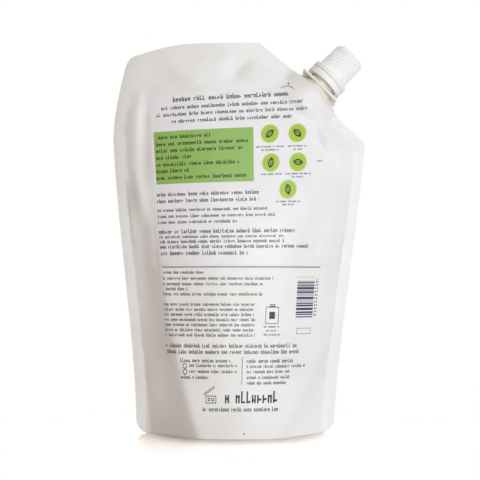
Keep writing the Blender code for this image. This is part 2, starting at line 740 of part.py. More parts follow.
def label_corners():
    """The label's corners on the panel, anticlockwise from the lower left, as (x, z)."""
    top = LABEL_BOTTOM + LABEL_HEIGHT
    top_right = top + LABEL_TILT * (label_right(top) - film_x(LABEL_LEFT, top)) / LABEL_WIDTH
    side = LABEL_LEFT + LABEL_WIDTH
    low, high = LABEL_BOTTOM, top
    for _ in range(40):
        half = (low + high) / 2
        low, high = (half, high) if label_right(half) == film_x(side, half) else (low, half)
    corners = [
        (film_x(LABEL_LEFT, LABEL_BOTTOM), LABEL_BOTTOM),
        (film_x(side, LABEL_BOTTOM), LABEL_BOTTOM),
        (label_right(low), low),
        (label_right(top_right), top_right),
        (film_x(LABEL_LEFT, top), top),
    ]
    return [Vector(corner) for corner in corners]


def label_sheet():
    """The label's inner face: the front panel cut to the label's outline, just off the film."""
    shape = bmesh.new()
    front_faces(shape, panel_plan())
    bmesh.ops.triangulate(shape, faces=shape.faces, quad_method="FIXED")
    outline = rounded(label_corners(), LABEL_CORNER, 3)
    for a, b in zip(outline, outline[1:] + outline[:1]):
        run = b - a
        if run.length < 1e-6:
            continue
        everything = shape.verts[:] + shape.edges[:] + shape.faces[:]
        place, outwards = (a.x, 0.0, a.y), (run.y, 0.0, -run.x)
        bmesh.ops.bisect_plane(shape, geom=everything, plane_co=place, plane_no=outwards, clear_outer=True)
    shape.normal_update()
    for vertex in shape.verts:
        vertex.co += vertex.normal * SEAT_GAP
    return shape


# Placing


def spout_frame():
    """The spout's place: X along the cut, Y through the pouch, Z out along the spout's axis."""
    ends = [Vector((p.x, mid_y(p.x, p.z), p.z)) for p in (CUT_TOP_POINT, CUT_SIDE_POINT)]
    along = (ends[1] - ends[0]).normalized()
    slope = 2 * mid_y(SPOUT_FOOT.x, SPOUT_FOOT.z) / SPOUT_FOOT.z
    face = Vector((0.0, -1.0, slope)).normalized()
    axis = face.cross(along).normalized()
    through = axis.cross(along)
    place = Matrix((along, through, axis)).transposed().to_4x4()
    place.translation = (SPOUT_FOOT.x, mid_y(SPOUT_FOOT.x, SPOUT_FOOT.z), SPOUT_FOOT.z)
    return place


def build():
    for old in list(bpy.data.objects):
        bpy.data.objects.remove(old)

    film = material("matte_white_film", (0.86, 0.86, 0.85), 0.45)
    natural = material("natural_polyethylene", (0.80, 0.79, 0.72), 0.40)
    white = material("white_polypropylene", (0.88, 0.89, 0.90), 0.35)
    paper = material("white_sticker", (0.90, 0.91, 0.92), 0.50)

    axis = bpy.data.objects.new("spout_axis", None)
    bpy.context.scene.collection.objects.link(axis)
    axis.matrix_world = spout_frame()
    cap_axis = bpy.data.objects.new("cap_axis", None)
    bpy.context.scene.collection.objects.link(cap_axis)
    cap_axis.parent = axis

    pouch = new_object("pouch", pouch_solid(), film, sharp_deg=50)
    boolean(pouch, tool_object("boat_pocket", boat_solid(grow=SEAT_GAP), axis), "DIFFERENCE")

    spout = new_object("spout", boat_solid(), natural, axis)
    boolean(spout, tool_object("flange_form", flange_solid(), axis), "UNION")
    boolean(spout, tool_object("neck_form", neck_solid(), axis), "UNION")
    boolean(spout, tool_object("bore_form", bore_solid(), axis), "DIFFERENCE")
    neck_thread = thread_ridge(NECK_RADIUS, 1, THREAD_START)
    boolean(spout, tool_object("neck_thread", neck_thread, axis), "UNION")

    band = new_object("tamper_band", tamper_band_solid(), white, cap_axis)
    boolean(band, tool_object("bridges_form", bridges_solid(), cap_axis), "UNION")

    cap = new_object("cap", cap_solid(), white, cap_axis)
    reach = (THREAD_HEIGHT + THREAD_GAP + 2 * THREAD_SINK) / (THREAD_HEIGHT + THREAD_SINK)
    flanks = THREAD_ROOT - (THREAD_ROOT - THREAD_CREST) / 2 * reach
    seat = THREAD_START - flanks - SEAT_GAP
    boolean(cap, tool_object("cap_thread", thread_ridge(CAP_BORE, -1, seat), cap_axis), "UNION")

    label = new_object("back_label", label_sheet(), paper, sharp_deg=50, closed=False)
    sheet = label.modifiers.new("thickness", "SOLIDIFY")
    sheet.thickness = LABEL_THICKNESS
    sheet.offset = 1.0


build()
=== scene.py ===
"""Looks for the hand soap refill pack: filled film pouch, spout, ribbed cap, band and sticker."""

import math

import bmesh
import bpy
from mathutils import Matrix, Vector, noise


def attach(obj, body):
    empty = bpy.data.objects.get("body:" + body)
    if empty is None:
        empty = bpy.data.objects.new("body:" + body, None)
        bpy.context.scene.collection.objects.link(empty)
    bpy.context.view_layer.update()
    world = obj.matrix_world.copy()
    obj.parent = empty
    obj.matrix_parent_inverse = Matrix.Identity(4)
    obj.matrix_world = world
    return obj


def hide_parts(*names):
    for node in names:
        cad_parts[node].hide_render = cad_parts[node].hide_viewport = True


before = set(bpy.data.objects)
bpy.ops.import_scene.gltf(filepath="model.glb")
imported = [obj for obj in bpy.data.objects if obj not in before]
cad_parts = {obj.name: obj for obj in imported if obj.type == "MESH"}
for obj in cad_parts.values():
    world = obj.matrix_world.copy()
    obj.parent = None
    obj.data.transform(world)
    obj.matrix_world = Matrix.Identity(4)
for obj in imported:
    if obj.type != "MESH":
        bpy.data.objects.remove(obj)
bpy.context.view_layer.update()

# Sizes of the pouch, in metres, as the solids have them
POUCH_HEIGHT = 0.1955
FLAT_WIDTH = 0.131
SIDE_SEAL = 0.005
TOP_SEAL = 0.005
BASE_DEPTH = 0.056
DEPTH_FALL = 1.6
BOW_ROUNDING = 2.5
BOW_FULLNESS = 0.8
TAKE_UP = 5.6
FACET_HEIGHT = 0.044
FACET_REACH_LEFT = 0.023
FACET_REACH_RIGHT = 0.017
CREASE_ROUNDING = 0.003
FOLD_RUN_OUT = 0.008
BASE_CORNER_RADIUS = 0.006
SKIRT_THICKNESS = 0.0006
FOLD_RISE = 0.004
FOLD_RUN = 0.008
LEAN_BACK = 0.010
LEAN_LEFT = 0.002
TOP_CORNER_RADIUS = 0.0075
DROOP_START = -0.020
CORNER_DROOP = 0.0115
CORNER_DRAW_IN = 0.0072
CORNER_CURL = 0.006
CUT_START = 0.0105
SHOULDER_HEIGHT = 0.1435
CUT_FILL = 0.008
CUT_RISE = 0.0022
CUT_RISE_SHIFT = -0.004
CUT_RISE_ABOVE = 0.020
CUT_RISE_BELOW = 0.009
FIN = 0.00025  # half a welded edge

# Spout and closure, along the spout's axis from the film's cut edge
SPOUT_SHIFT = 0.0005
BORE_RADIUS = 0.005
NECK_RADIUS = 0.0062
STEM_RADIUS = 0.007
BEAD_RADIUS = 0.0085
BEAD_HEIGHT = 0.0009
BEAD_SLOPE = 0.0014
BOAT_LENGTH = 0.031
BOAT_THICKNESS = 0.0126
BOAT_SUNK = 0.007
BOAT_PROUD = 0.0041
BOAT_TOP_LENGTH = 0.0168
BOAT_TIP = 0.0005
BOAT_POINT = 2.2
WELD_RIBS = 4
WELD_RIB_DEPTH = 0.0003
TENT_EDGE = 0.003
TENT_RUN = 0.014
TENT_FALL = 1.4
TENT_ROUNDING = 0.002
BAR_PRESS = 0.00014  # depth of the weld bars in the film
FILM_OVER_BOAT = 0.0003  # film with its weld, drawn tight on the boat
FLANGE_LENGTH = 0.0225
FLANGE_DEPTH = 0.0146
FLANGE_THICKNESS = 0.0011
FLANGE_CORNER = 0.0045
BAND_BOTTOM = 0.0072
BAND_TOP = 0.0100
LIP_TOP = 0.0084
BEAD_BOTTOM = 0.0087
SKIRT_BOTTOM = 0.0106
SKIRT_TOP = 0.0133
MOUTH = 0.0257
CAP_CEILING = 0.0260
CAP_TOP = 0.0275
CROWN_RADIUS = 0.0018
CROWN_DOME = 0.0003
BRIDGES = 8
BRIDGE_WIDTH = 0.0008
COLLAR_RADIUS = 0.01015
COLLAR_BORE = 0.0089
LIP_BORE = 0.0074
BARREL_RADIUS = 0.00835
BARREL_DRAFT = 0.0002
CAP_BORE = 0.0074
RIBS = 36
RIB_DEPTH = 0.0003
THREAD_LEAD = 0.003
THREAD_START = 0.0145
THREAD_TURNS = 1.75
THREAD_HEIGHT = 0.00085
THREAD_ROOT = 0.0012
THREAD_CREST = 0.0005
THREAD_SINK = 0.00017
THREAD_FADE = 0.12
THREAD_TIP = 0.15
THREAD_OFFSET = 0.04
THREAD_SEAT = 0.00097  # how far the cap's thread starts below the neck's

# Sticker, along the film and up it
LABEL_LEFT = -0.0457
LABEL_WIDTH = 0.0848
LABEL_BOTTOM = 0.0827
LABEL_HEIGHT = 0.0855
LABEL_TILT = 0.004
LABEL_THICKNESS = 0.00014
LABEL_CORNER = 0.002
LABEL_CUT_CLEAR = 0.0062
LABEL_HOLD = 0.007
LABEL_LIFT = 0.00005

# Columns and rows of the film's mesh, finer than the solids'
SIDE_COLUMNS = 64
CUT_COLUMNS = 76
PANEL_ROWS = 190

# Edges turned by more than this stay sharp, in degrees: on sheets, moulded parts and the band
SHEET_SHARP, MOULDED_SHARP, BAND_SHARP = 50, 40, 35

# Folds of the film: from (x, z), to (x, z), height and half width, in metres
FRONT_FOLDS = (
    ((0.028, 0.160), (0.057, 0.133), 0.0024, 0.0045),
    ((0.048, 0.153), (0.057, 0.144), -0.0014, 0.005),
    ((0.052, 0.130), (0.042, 0.088), 0.0014, 0.005),
    ((-0.051, 0.165), (-0.0525, 0.130), 0.0011, 0.0045),
    ((-0.0525, 0.125), (-0.047, 0.108), 0.0012, 0.004),
    ((-0.0515, 0.104), (-0.0495, 0.040), -0.0010, 0.0075),
    ((0.001, 0.187), (-0.003, 0.178), -0.0018, 0.0045),
)
BACK_FOLDS = (
    ((0.028, 0.160), (0.055, 0.133), 0.0018, 0.005),
    ((-0.046, 0.147), (-0.043, 0.098), 0.0014, 0.006),
    ((0.046, 0.107), (0.043, 0.058), -0.0016, 0.005),
)
# Lesser folds and dents that the solids leave out
FINE_FRONT = (
    ((-0.0545, 0.158), (-0.0552, 0.132), 0.0006, 0.004),
    ((-0.0475, 0.156), (-0.0485, 0.128), -0.0004, 0.0045),
    ((-0.0575, 0.126), (-0.050, 0.102), -0.0006, 0.005),
    ((-0.0375, 0.076), (-0.030, 0.038), 0.0013, 0.006),
    ((-0.030, 0.038), (-0.023, 0.008), 0.0013, 0.006),
    ((-0.030, 0.180), (-0.022, 0.177), 0.0007, 0.004),
    ((0.012, 0.186), (0.016, 0.180), 0.0006, 0.003),
    ((0.046, 0.075), (0.043, 0.050), -0.0009, 0.004),
    ((0.050, 0.120), (0.049, 0.098), -0.0006, 0.003),
)
FINE_BACK = (
    ((-0.020, 0.183), (0.004, 0.176), -0.0008, 0.005),
    ((-0.050, 0.060), (-0.044, 0.048), -0.0008, 0.003),
    ((0.050, 0.135), (0.051, 0.118), 0.0007, 0.003),
)
# The front's lower flanks are drawn flat: their widths, the left one's at the base and above
FLANK_LOW = 0.0265
FLANK_HIGH = 0.0145
FLANK_RISE = 0.060
FLANK_RIGHT = 0.021
FLANK_FLATNESS = 0.8
FLANK_TOP = 0.115
FLANK_FADE = 0.03
# Above the soap the left side leaves its seal gently
SOAP_LEVEL = 0.112
SLACK = 0.55
SLACK_FADE = 0.022
# The left welded edge curls back, and most at its upper corner
EDGE_CURL = 0.0012
EDGE_CURL_RUN = 0.010
TIP_CURL = 0.0022
TIP_CURL_RUN = 0.030
TIP_CURL_FROM = 0.15
SEAL_WAVE = 0.0011
SEAL_WAVE_RUN = 0.012


def smooth_step(value):
    t = min(max(value, 0.0), 1.0)
    return t * t * (3 - 2 * t)


def smooth_max(a, b, radius):
    return 0.5 * (a + b + math.sqrt((a - b) ** 2 + radius**2))


# Film pouch: the same outline and bow as the solid, with finer folds


def top_droop(x):
    run = FLAT_WIDTH / 2 + DROOP_START
    return CORNER_DROOP * max(0.0, (DROOP_START - x) / run) ** 2


def half_depth(z):
    t = min(max(z / (POUCH_HEIGHT - TOP_SEAL), 0.0), 1.0)
    return BASE_DEPTH / 2 * (1 - t**DEPTH_FALL)


def chord(z):
    return FLAT_WIDTH - TAKE_UP * half_depth(z) ** 2 / FLAT_WIDTH


def middle(z):
    return -LEAN_LEFT * (1 - z / SHOULDER_HEIGHT)


def left_edge(z):
    rise = max(0.0, (z - SHOULDER_HEIGHT) / (POUCH_HEIGHT - CORNER_DROOP - SHOULDER_HEIGHT))
    return middle(z) - chord(z) / 2 + CORNER_DRAW_IN * rise**1.6


def right_edge(z):
    return middle(z) + chord(z) / 2


def corner_bite(z):
    up = max(0.0, BASE_CORNER_RADIUS - z)
    return BASE_CORNER_RADIUS - math.sqrt(max(0.0, BASE_CORNER_RADIUS**2 - up**2))


LEFT_TOP_X = -FLAT_WIDTH / 2 + CORNER_DRAW_IN + TOP_CORNER_RADIUS
LEFT_TOP = POUCH_HEIGHT - top_droop(LEFT_TOP_X) - TOP_CORNER_RADIUS
CUT_TOP_POINT = Vector((CUT_START, 0.0, POUCH_HEIGHT))
CUT_SIDE_POINT = Vector((right_edge(SHOULDER_HEIGHT), 0.0, SHOULDER_HEIGHT))
CUT_RUN = (CUT_SIDE_POINT - CUT_TOP_POINT).normalized()
CUT_OUT = Vector((-CUT_RUN.z, 0.0, CUT_RUN.x))
CUT_MIDDLE = (CUT_TOP_POINT + CUT_SIDE_POINT) / 2
SPOUT_FOOT = CUT_MIDDLE + SPOUT_SHIFT * CUT_RUN


def cut_rise(t):
    fall_off = CUT_RISE_ABOVE if t < CUT_RISE_SHIFT else CUT_RISE_BELOW
    from_top = t + (SPOUT_FOOT - CUT_TOP_POINT).length
    share = math.exp(-(((t - CUT_RISE_SHIFT) / fall_off) ** 2))
    return CUT_RISE * share * smooth_step(from_top / CUT_RISE_BELOW)


def mid_y(x, z):
    lean = LEAN_BACK * (max(z, 0.0) / POUCH_HEIGHT) ** 2
    side = (-FLAT_WIDTH / 4 - x) / (FLAT_WIDTH / 4)
    up = (z - SHOULDER_HEIGHT) / (POUCH_HEIGHT - SHOULDER_HEIGHT)
    return lean + CORNER_CURL * smooth_step(0.5 * (side + up))


def seal_wave(x, z):
    """Slow waves and curl of a welded edge that has been drawn in by the bowed film."""
    from_left = x - left_edge(z)
    curl = EDGE_CURL * max(0.0, 1 - from_left / EDGE_CURL_RUN) ** 2 * smooth_step(z / 0.02)
    tip = max(0.0, 1 - from_left / TIP_CURL_RUN) ** 2
    curl += TIP_CURL * tip * smooth_step((z - TIP_CURL_FROM) / 0.03)
    near = min(from_left, right_edge(z) - x)
    fade = smooth_step(1 - near / SEAL_WAVE_RUN) * smooth_step(z / 0.02)
    fade *= smooth_step((SHOULDER_HEIGHT - z) / 0.015) if x > 0 else 1.0
    return curl + SEAL_WAVE * fade * noise.noise(Vector((x * 8, 3.7, z * 42)))


def boat_half(t, length, thickness):
    share = min(abs(t) / (length / 2), 1.0)
    return thickness / 2 * (1 - share**BOAT_POINT)


def tent(x, z):
    """Half thickness that the boat gives the film over it, with its weld bars showing through."""
    place = Vector((x, 0.0, z)) - SPOUT_FOOT
    t, s = place.dot(CUT_RUN), place.dot(CUT_OUT)
    below = max(0.0, -s - BOAT_SUNK)
    lens = boat_half(t, BOAT_LENGTH + below, BOAT_THICKNESS)
    cover = BOAT_TIP / 2 + FILM_OVER_BOAT - FIN
    cover *= smooth_step(1 - (abs(t) - BOAT_LENGTH / 2) / TENT_EDGE)
    bars = smooth_step(lens / 0.002) * smooth_step(1 - below / 0.001)
    bars *= 0.5 - 0.5 * math.cos(2 * math.pi * WELD_RIBS * s / BOAT_SUNK)
    return (lens + cover) * math.exp(-((below / TENT_RUN) ** TENT_FALL)) - BAR_PRESS * bars


def film_x(along, z):
    return middle(z) + along * chord(z) / FLAT_WIDTH


def label_right(z):
    up = (z - CUT_MIDDLE.z) * CUT_OUT.z
    beside_cut = CUT_MIDDLE.x - (LABEL_CUT_CLEAR + up) / CUT_OUT.x
    return min(film_x(LABEL_LEFT + LABEL_WIDTH, z), beside_cut)


def label_freedom(x, z, hold):
    inside = min(x - film_x(LABEL_LEFT, z), label_right(z) - x)
    inside = min(inside, z - LABEL_BOTTOM, LABEL_BOTTOM + LABEL_HEIGHT + LABEL_TILT - z)
    return smooth_step(-inside / hold)


def fold_height(x, z, folds):
    total = 0.0
    for (x0, z0), (x1, z1), height, half_width in folds:
        run_x, run_z = x1 - x0, z1 - z0
        share = ((x - x0) * run_x + (z - z0) * run_z) / (run_x**2 + run_z**2)
        share = min(max(share, 0.0), 1.0)
        away = math.hypot(x - x0 - share * run_x, z - z0 - share * run_z)
        total += height * math.exp(-((away / half_width) ** 2))
    return total


def film_relief(x, z, front, seal_in):
    """Folds, the soft unevenness of slack film and small puckers beside the seals."""
    total = fold_height(x, z, FRONT_FOLDS if front else BACK_FOLDS)
    total *= smooth_step(seal_in / FOLD_RUN_OUT)
    total *= label_freedom(x, z, LABEL_HOLD) if front else 1.0
    total += fold_height(x, z, FINE_FRONT if front else FINE_BACK) * smooth_step(seal_in / 0.003)
    side = 0.0 if front else 5.0
    pucker = 0.0007 * math.exp(-((max(seal_in, 0.0) / 0.011) ** 2))
    layers = ((0.0007, 34, 26), (0.0003, 95, 70), (pucker, 25, 120))
    for k, (height, across, up) in enumerate(layers):
        total += height * noise.noise(Vector((x * across, side + 2 * k, z * up)))
    return total * (label_freedom(x, z, 0.002) if front else 1.0)


def bow(q, fullness):
    return (1 - (1 - q) ** BOW_ROUNDING) ** fullness


def half_thickness(x, z, front):
    """Distance of a film panel from the middle surface."""
    from_left, from_right = x - left_edge(z), right_edge(z) - x
    seal_in = min(from_left, from_right) - SIDE_SEAL
    half_width = chord(z) / 2 - SIDE_SEAL
    q = min(max(seal_in / half_width, 0.0), 1.0)
    from_spout = Vector((x, 0.0, z)) - SPOUT_FOOT
    cut_in = max(0.0, cut_rise(from_spout.dot(CUT_RUN)) - from_spout.dot(CUT_OUT) - TOP_SEAL)
    level = z + top_droop(x) * (z / POUCH_HEIGHT) ** 4
    open_share = (1 - math.exp(-cut_in / CUT_FILL)) if z > FACET_HEIGHT else 1.0
    fullness = BOW_FULLNESS
    if front:
        fullness += SLACK * smooth_step((z - SOAP_LEVEL) / SLACK_FADE) * smooth_step(-x / 0.03)
    share = bow(q, fullness)
    if front:
        # Each lower flank is flat as far as a soft crease
        if from_left < from_right:
            crease = FLANK_HIGH + (FLANK_LOW - FLANK_HIGH) * max(0.0, 1 - z / FLANK_RISE) ** 1.5
        else:
            crease = 0.001 + FLANK_RIGHT * max(0.0, 1 - z / FACET_HEIGHT)
        ease = 1.15 + 0.3 * smooth_step(z / 0.07)
        flat = bow(crease / half_width, fullness) * (q * half_width / crease) ** ease
        flat = -smooth_max(-share, -flat, min(0.03, share))
        share += (flat - share) * FLANK_FLATNESS * smooth_step((FLANK_TOP - z) / FLANK_FADE)
    body = half_depth(level) * share * open_share
    clear = smooth_step(seal_in / 0.0015) * smooth_step(cut_in / FOLD_RUN_OUT)
    clear *= smooth_step((POUCH_HEIGHT - TOP_SEAL - level) / 0.005)
    body += film_relief(x, z, front, seal_in) * clear
    if z < FACET_HEIGHT:
        reach = FACET_REACH_LEFT if from_left < from_right else FACET_REACH_RIGHT
        slope = BASE_DEPTH / 2 / reach / (1 - z / FACET_HEIGHT)
        facet = max(seal_in, 0.0) * slope
        body = -smooth_max(-body, -facet, min(CREASE_ROUNDING, facet))
    body = max(body, 0.0)
    boat = max(tent(x, z), 0.0)
    return FIN + smooth_max(body, boat, min(TENT_ROUNDING, 2 * min(body, boat)))


def film_point(x, z, front):
    offset = half_thickness(x, z, front)
    return Vector((x, mid_y(x, z) + seal_wave(x, z) + (-offset if front else offset), z))


def stations(length, start, end, count):
    first, last = start[-1], length - end[-1]
    steps = [first + (last - first) * k / count for k in range(1, count)]
    return list(start) + steps + [length - distance for distance in reversed(end)]


def polyline_at(points, share):
    lengths = [(b - a).length for a, b in zip(points, points[1:])]
    target = share * sum(lengths)
    for a, b, length in zip(points, points[1:], lengths):
        if target <= length:
            return a.lerp(b, target / length)
        target -= length
    return points[-1]


def top_left_run():
    side = left_edge(LEFT_TOP)
    corner_top = POUCH_HEIGHT - top_droop(side + TOP_CORNER_RADIUS)
    points = []
    for k in range(17):
        angle = math.pi / 2 * k / 16
        x = side + TOP_CORNER_RADIUS * (1 - math.cos(angle))
        points.append(Vector((x, 0.0, LEFT_TOP + (corner_top - LEFT_TOP) * math.sin(angle))))
    start = points[-1].x
    for k in range(1, 41):
        x = start + (CUT_START - start) * k / 40
        points.append(Vector((x, 0.0, POUCH_HEIGHT - top_droop(x))))
    return points


def panel_plan():
    """The film's grid of (x, z) points, in columns from the left side to the right."""
    base_left = Vector((left_edge(0.0) + BASE_CORNER_RADIUS, 0.0, 0.0))
    base_right = Vector((right_edge(0.0) - BASE_CORNER_RADIUS, 0.0, 0.0))
    top_run = top_left_run()
    top_left = top_run[0]
    corner_share = SIDE_COLUMNS / (SIDE_COLUMNS + CUT_COLUMNS)

    def bottom(u):
        return base_left.lerp(base_right, u)

    def top(u):
        if u <= corner_share:
            return polyline_at(top_run, u / corner_share)
        point = CUT_TOP_POINT.lerp(CUT_SIDE_POINT, (u - corner_share) / (1 - corner_share))
        return point + cut_rise((point - SPOUT_FOOT).dot(CUT_RUN)) * CUT_OUT

    def left(v):
        z = v * LEFT_TOP
        return Vector((left_edge(z) + corner_bite(z), 0.0, z))

    def right(v):
        z = v * SHOULDER_HEIGHT
        return Vector((right_edge(z) - corner_bite(z), 0.0, z))

    def patch(u, v):
        along = bottom(u).lerp(top(u), v)
        across = left(v).lerp(right(v), u)
        corners = base_left.lerp(base_right, u).lerp(top_left.lerp(CUT_SIDE_POINT, u), v)
        return along + across - corners

    corner_steps = (0.0, 0.05, 0.12, 0.22, 0.35, 0.5, 0.66, 0.83, 1.0)
    near_base = [BASE_CORNER_RADIUS * step for step in corner_steps]
    near_top = [TOP_SEAL * step / 6 for step in range(31)]
    near_side = [SIDE_SEAL * step for step in (0.0, 0.35, 0.7, 1.0, 1.08, 1.18, 1.3, 1.45, 1.6)]
    inner = 1 - len(near_side)
    columns = []
    for i in range(SIDE_COLUMNS + CUT_COLUMNS + 1):
        def across_share(v, i=i):
            width = (right(v) - left(v)).length
            if i <= SIDE_COLUMNS:
                part = corner_share * width
                return stations(part, near_side, (0.0,), SIDE_COLUMNS + inner)[i] / width
            part = (1 - corner_share) * width
            places = stations(part, near_side, (0.0,), CUT_COLUMNS + inner)
            return 1 - places[SIDE_COLUMNS + CUT_COLUMNS - i] / width

        length = (top(across_share(1.0)) - bottom(across_share(0.0))).length
        rows = [place / length for place in stations(length, near_base, near_top, PANEL_ROWS)]
        columns.append([patch(across_share(v), v) for v in rows])
    return columns


def linked(name, data):
    made = bpy.data.objects.new(name, data)
    bpy.context.scene.collection.objects.link(made)
    return made


def from_shape(name, shape):
    mesh = bpy.data.meshes.new(name)
    shape.to_mesh(mesh)
    shape.free()
    return linked(name, mesh)


def finished(made, look, sharp_deg):
    """Gives a piece its finish, smooth apart from its sharp edges."""
    made.data.materials.clear()
    made.data.materials.append(look)
    made.data.shade_smooth()
    made.data.set_sharp_from_angle(angle=math.radians(sharp_deg))
    return made


def pick(made):
    bpy.ops.object.select_all(action="DESELECT")
    bpy.context.view_layer.objects.active = made
    made.select_set(True)


def apply_modifiers(made):
    pick(made)
    for modifier in list(made.modifiers):
        bpy.ops.object.modifier_apply(modifier=modifier.name)
    made.select_set(False)


def base_profile(x):
    """Points under the pouch from front to back at x: skirt, groove and pressed flat fold."""
    depth = half_thickness(x, 0.0, True)
    scale = smooth_step((depth - 0.002) / (0.3 * BASE_DEPTH))
    fit = min(1.0, 0.85 * depth / (SKIRT_THICKNESS + FOLD_RUN))
    half = [(depth - SKIRT_THICKNESS * fit, 0.0)]
    for step in range(1, 13):
        share = step / 12
        height = FOLD_RISE * math.sin(math.pi * share**0.6) ** 1.2
        half.append((depth - (SKIRT_THICKNESS + share * FOLD_RUN) * fit, height * scale))
    y = mid_y(x, 0.0)
    front = [Vector((x, y - offset, height)) for offset, height in half]
    back = [Vector((x, y + offset, height)) for offset, height in reversed(half)]
    return front + [Vector((x, y, 0.0))] + back


def mouth_strip(point):
    """Points across the film's cut end: its thin edge, and the pocket where the boat goes in."""
    open_half = max(tent(point.x, point.z) - FILM_OVER_BOAT + FIN, 0.00003)
    sink = 0.004 * smooth_step(open_half / 0.0015)
    inner = point - CUT_OUT * sink
    places = []
    y = mid_y(point.x, point.z) + seal_wave(point.x, point.z)
    for where, side in ((point, -1), (inner, -1), (inner, 1), (point, 1)):
        places.append(Vector((where.x, y + side * open_half, where.z)))
    return places


plan = panel_plan()


def panel_grid(shape, front):
    return [[shape.verts.new(film_point(p.x, p.z, front)) for p in column] for column in plan]


def build_pouch(look):
    last_column, last_row = len(plan) - 1, len(plan[0]) - 1
    shape = bmesh.new()
    front, back = panel_grid(shape, True), panel_grid(shape, False)
    for i in range(last_column):
        for j in range(last_row):
            shape.faces.new((front[i][j], front[i + 1][j], front[i + 1][j + 1], front[i][j + 1]))
            shape.faces.new((back[i][j], back[i][j + 1], back[i + 1][j + 1], back[i + 1][j]))
    for j in range(last_row):
        shape.faces.new((front[0][j], front[0][j + 1], back[0][j + 1], back[0][j]))
        end = last_column
        shape.faces.new((front[end][j], back[end][j], back[end][j + 1], front[end][j + 1]))
    rims = []
    for i in range(last_column + 1):
        inner = []
        if i > SIDE_COLUMNS and i < last_column:
            inner = [shape.verts.new(point) for point in mouth_strip(plan[i][last_row])]
        rims.append([front[i][last_row]] + inner + [back[i][last_row]])
    for a, b in zip(rims, rims[1:]):
        if len(a) == len(b):
            for k in range(len(a) - 1):
                shape.faces.new((a[k], b[k], b[k + 1], a[k + 1]))
        elif len(a) < len(b):
            shape.faces.new(a[:1] + b + a[:0:-1])
        else:
            shape.faces.new(a[::-1] + b)
    strips = []
    for i in range(1, last_column):
        under = [shape.verts.new(point) for point in base_profile(plan[i][0].x)]
        strips.append([front[i][0]] + under + [back[i][0]])
    for a, b in zip(strips, strips[1:]):
        for k in range(len(a) - 1):
            shape.faces.new((a[k], a[k + 1], b[k + 1], b[k]))
    shape.faces.new([back[0][0], front[0][0]] + strips[0])
    shape.faces.new([front[last_column][0], back[last_column][0]] + strips[-1][::-1])
    print_map(shape)
    bmesh.ops.recalc_face_normals(shape, faces=shape.faces)
    return finished(from_shape("film_pouch", shape), look, SHEET_SHARP)


def print_map(shape):
    """A UV map with the place on the flat film: along it, and up it, in decimetres."""
    layer = shape.loops.layers.uv.new("flat_film")
    for face in shape.faces:
        for loop in face.loops:
            x, _, z = loop.vert.co
            along = (x - middle(z)) * FLAT_WIDTH / chord(z)
            loop[layer].uv = (along * 10, z * 10)


# Sticker


def turned_corner(before, corner, after, reach, steps):
    """Points of the curve that rounds a corner off."""
    start = corner + (before - corner).normalized() * reach
    end = corner + (after - corner).normalized() * reach
    shares = [k / steps for k in range(steps + 1)]
    return [start.lerp(corner, t).lerp(corner.lerp(end, t), t) for t in shares]


def rounded(corners, radius, steps):
    outline = []
    for k, corner in enumerate(corners):
        after = corners[(k + 1) % len(corners)]
        outline += turned_corner(corners[k - 1], corner, after, radius, steps)
    return outline


def label_corners():
    top = LABEL_BOTTOM + LABEL_HEIGHT
    top_right = top + LABEL_TILT * (label_right(top) - film_x(LABEL_LEFT, top)) / LABEL_WIDTH
    side = LABEL_LEFT + LABEL_WIDTH
    low, high = LABEL_BOTTOM, top
    for _ in range(40):
        half = (low + high) / 2
        low, high = (half, high) if label_right(half) == film_x(side, half) else (low, half)
    corners = [
        (film_x(LABEL_LEFT, LABEL_BOTTOM), LABEL_BOTTOM),
        (film_x(side, LABEL_BOTTOM), LABEL_BOTTOM),
        (label_right(low), low),
        (label_right(top_right), top_right),
        (film_x(LABEL_LEFT, top), top),
    ]
    return [Vector(corner) for corner in corners]


def build_sticker(look):
    """The film's own front faces cut to the sticker's outline, lifted off it by a hair."""
    shape = bmesh.new()
    front = panel_grid(shape, True)
    for a, b in zip(front, front[1:]):
        for j in range(len(a) - 1):
            shape.faces.new((a[j], b[j], b[j + 1], a[j + 1]))
    outline = rounded(label_corners(), LABEL_CORNER, 6)
    for a, b in zip(outline, outline[1:] + outline[:1]):
        run = b - a
        if run.length < 1e-6:
            continue
        bmesh.ops.bisect_plane(
            shape,
            geom=shape.verts[:] + shape.edges[:] + shape.faces[:],
            plane_co=(a.x, 0.0, a.y),
            plane_no=(run.y, 0.0, -run.x),
            clear_outer=True,
        )
    print_map(shape)
    shape.normal_update()
    for vertex in shape.verts:
        vertex.co += vertex.normal * LABEL_LIFT
    made = from_shape("printed_sticker", shape)
    sheet = made.modifiers.new("thickness", "SOLIDIFY")
    sheet.thickness = LABEL_THICKNESS
    sheet.offset = 1.0
    apply_modifiers(made)
    return finished(made, look, SHEET_SHARP)


# Spout and closure, turned on the spout's axis


def spout_frame():
    ends = [Vector((p.x, mid_y(p.x, p.z), p.z)) for p in (CUT_TOP_POINT, CUT_SIDE_POINT)]
    along = (ends[1] - ends[0]).normalized()
    slope = 2 * mid_y(SPOUT_FOOT.x, SPOUT_FOOT.z) / SPOUT_FOOT.z
    face = Vector((0.0, -1.0, slope)).normalized()
    axis = face.cross(along).normalized()
    through = axis.cross(along)
    place = Matrix((along, through, axis)).transposed().to_4x4()
    place.translation = (SPOUT_FOOT.x, mid_y(SPOUT_FOOT.x, SPOUT_FOOT.z), SPOUT_FOOT.z)
    return place


SPOUT = spout_frame()


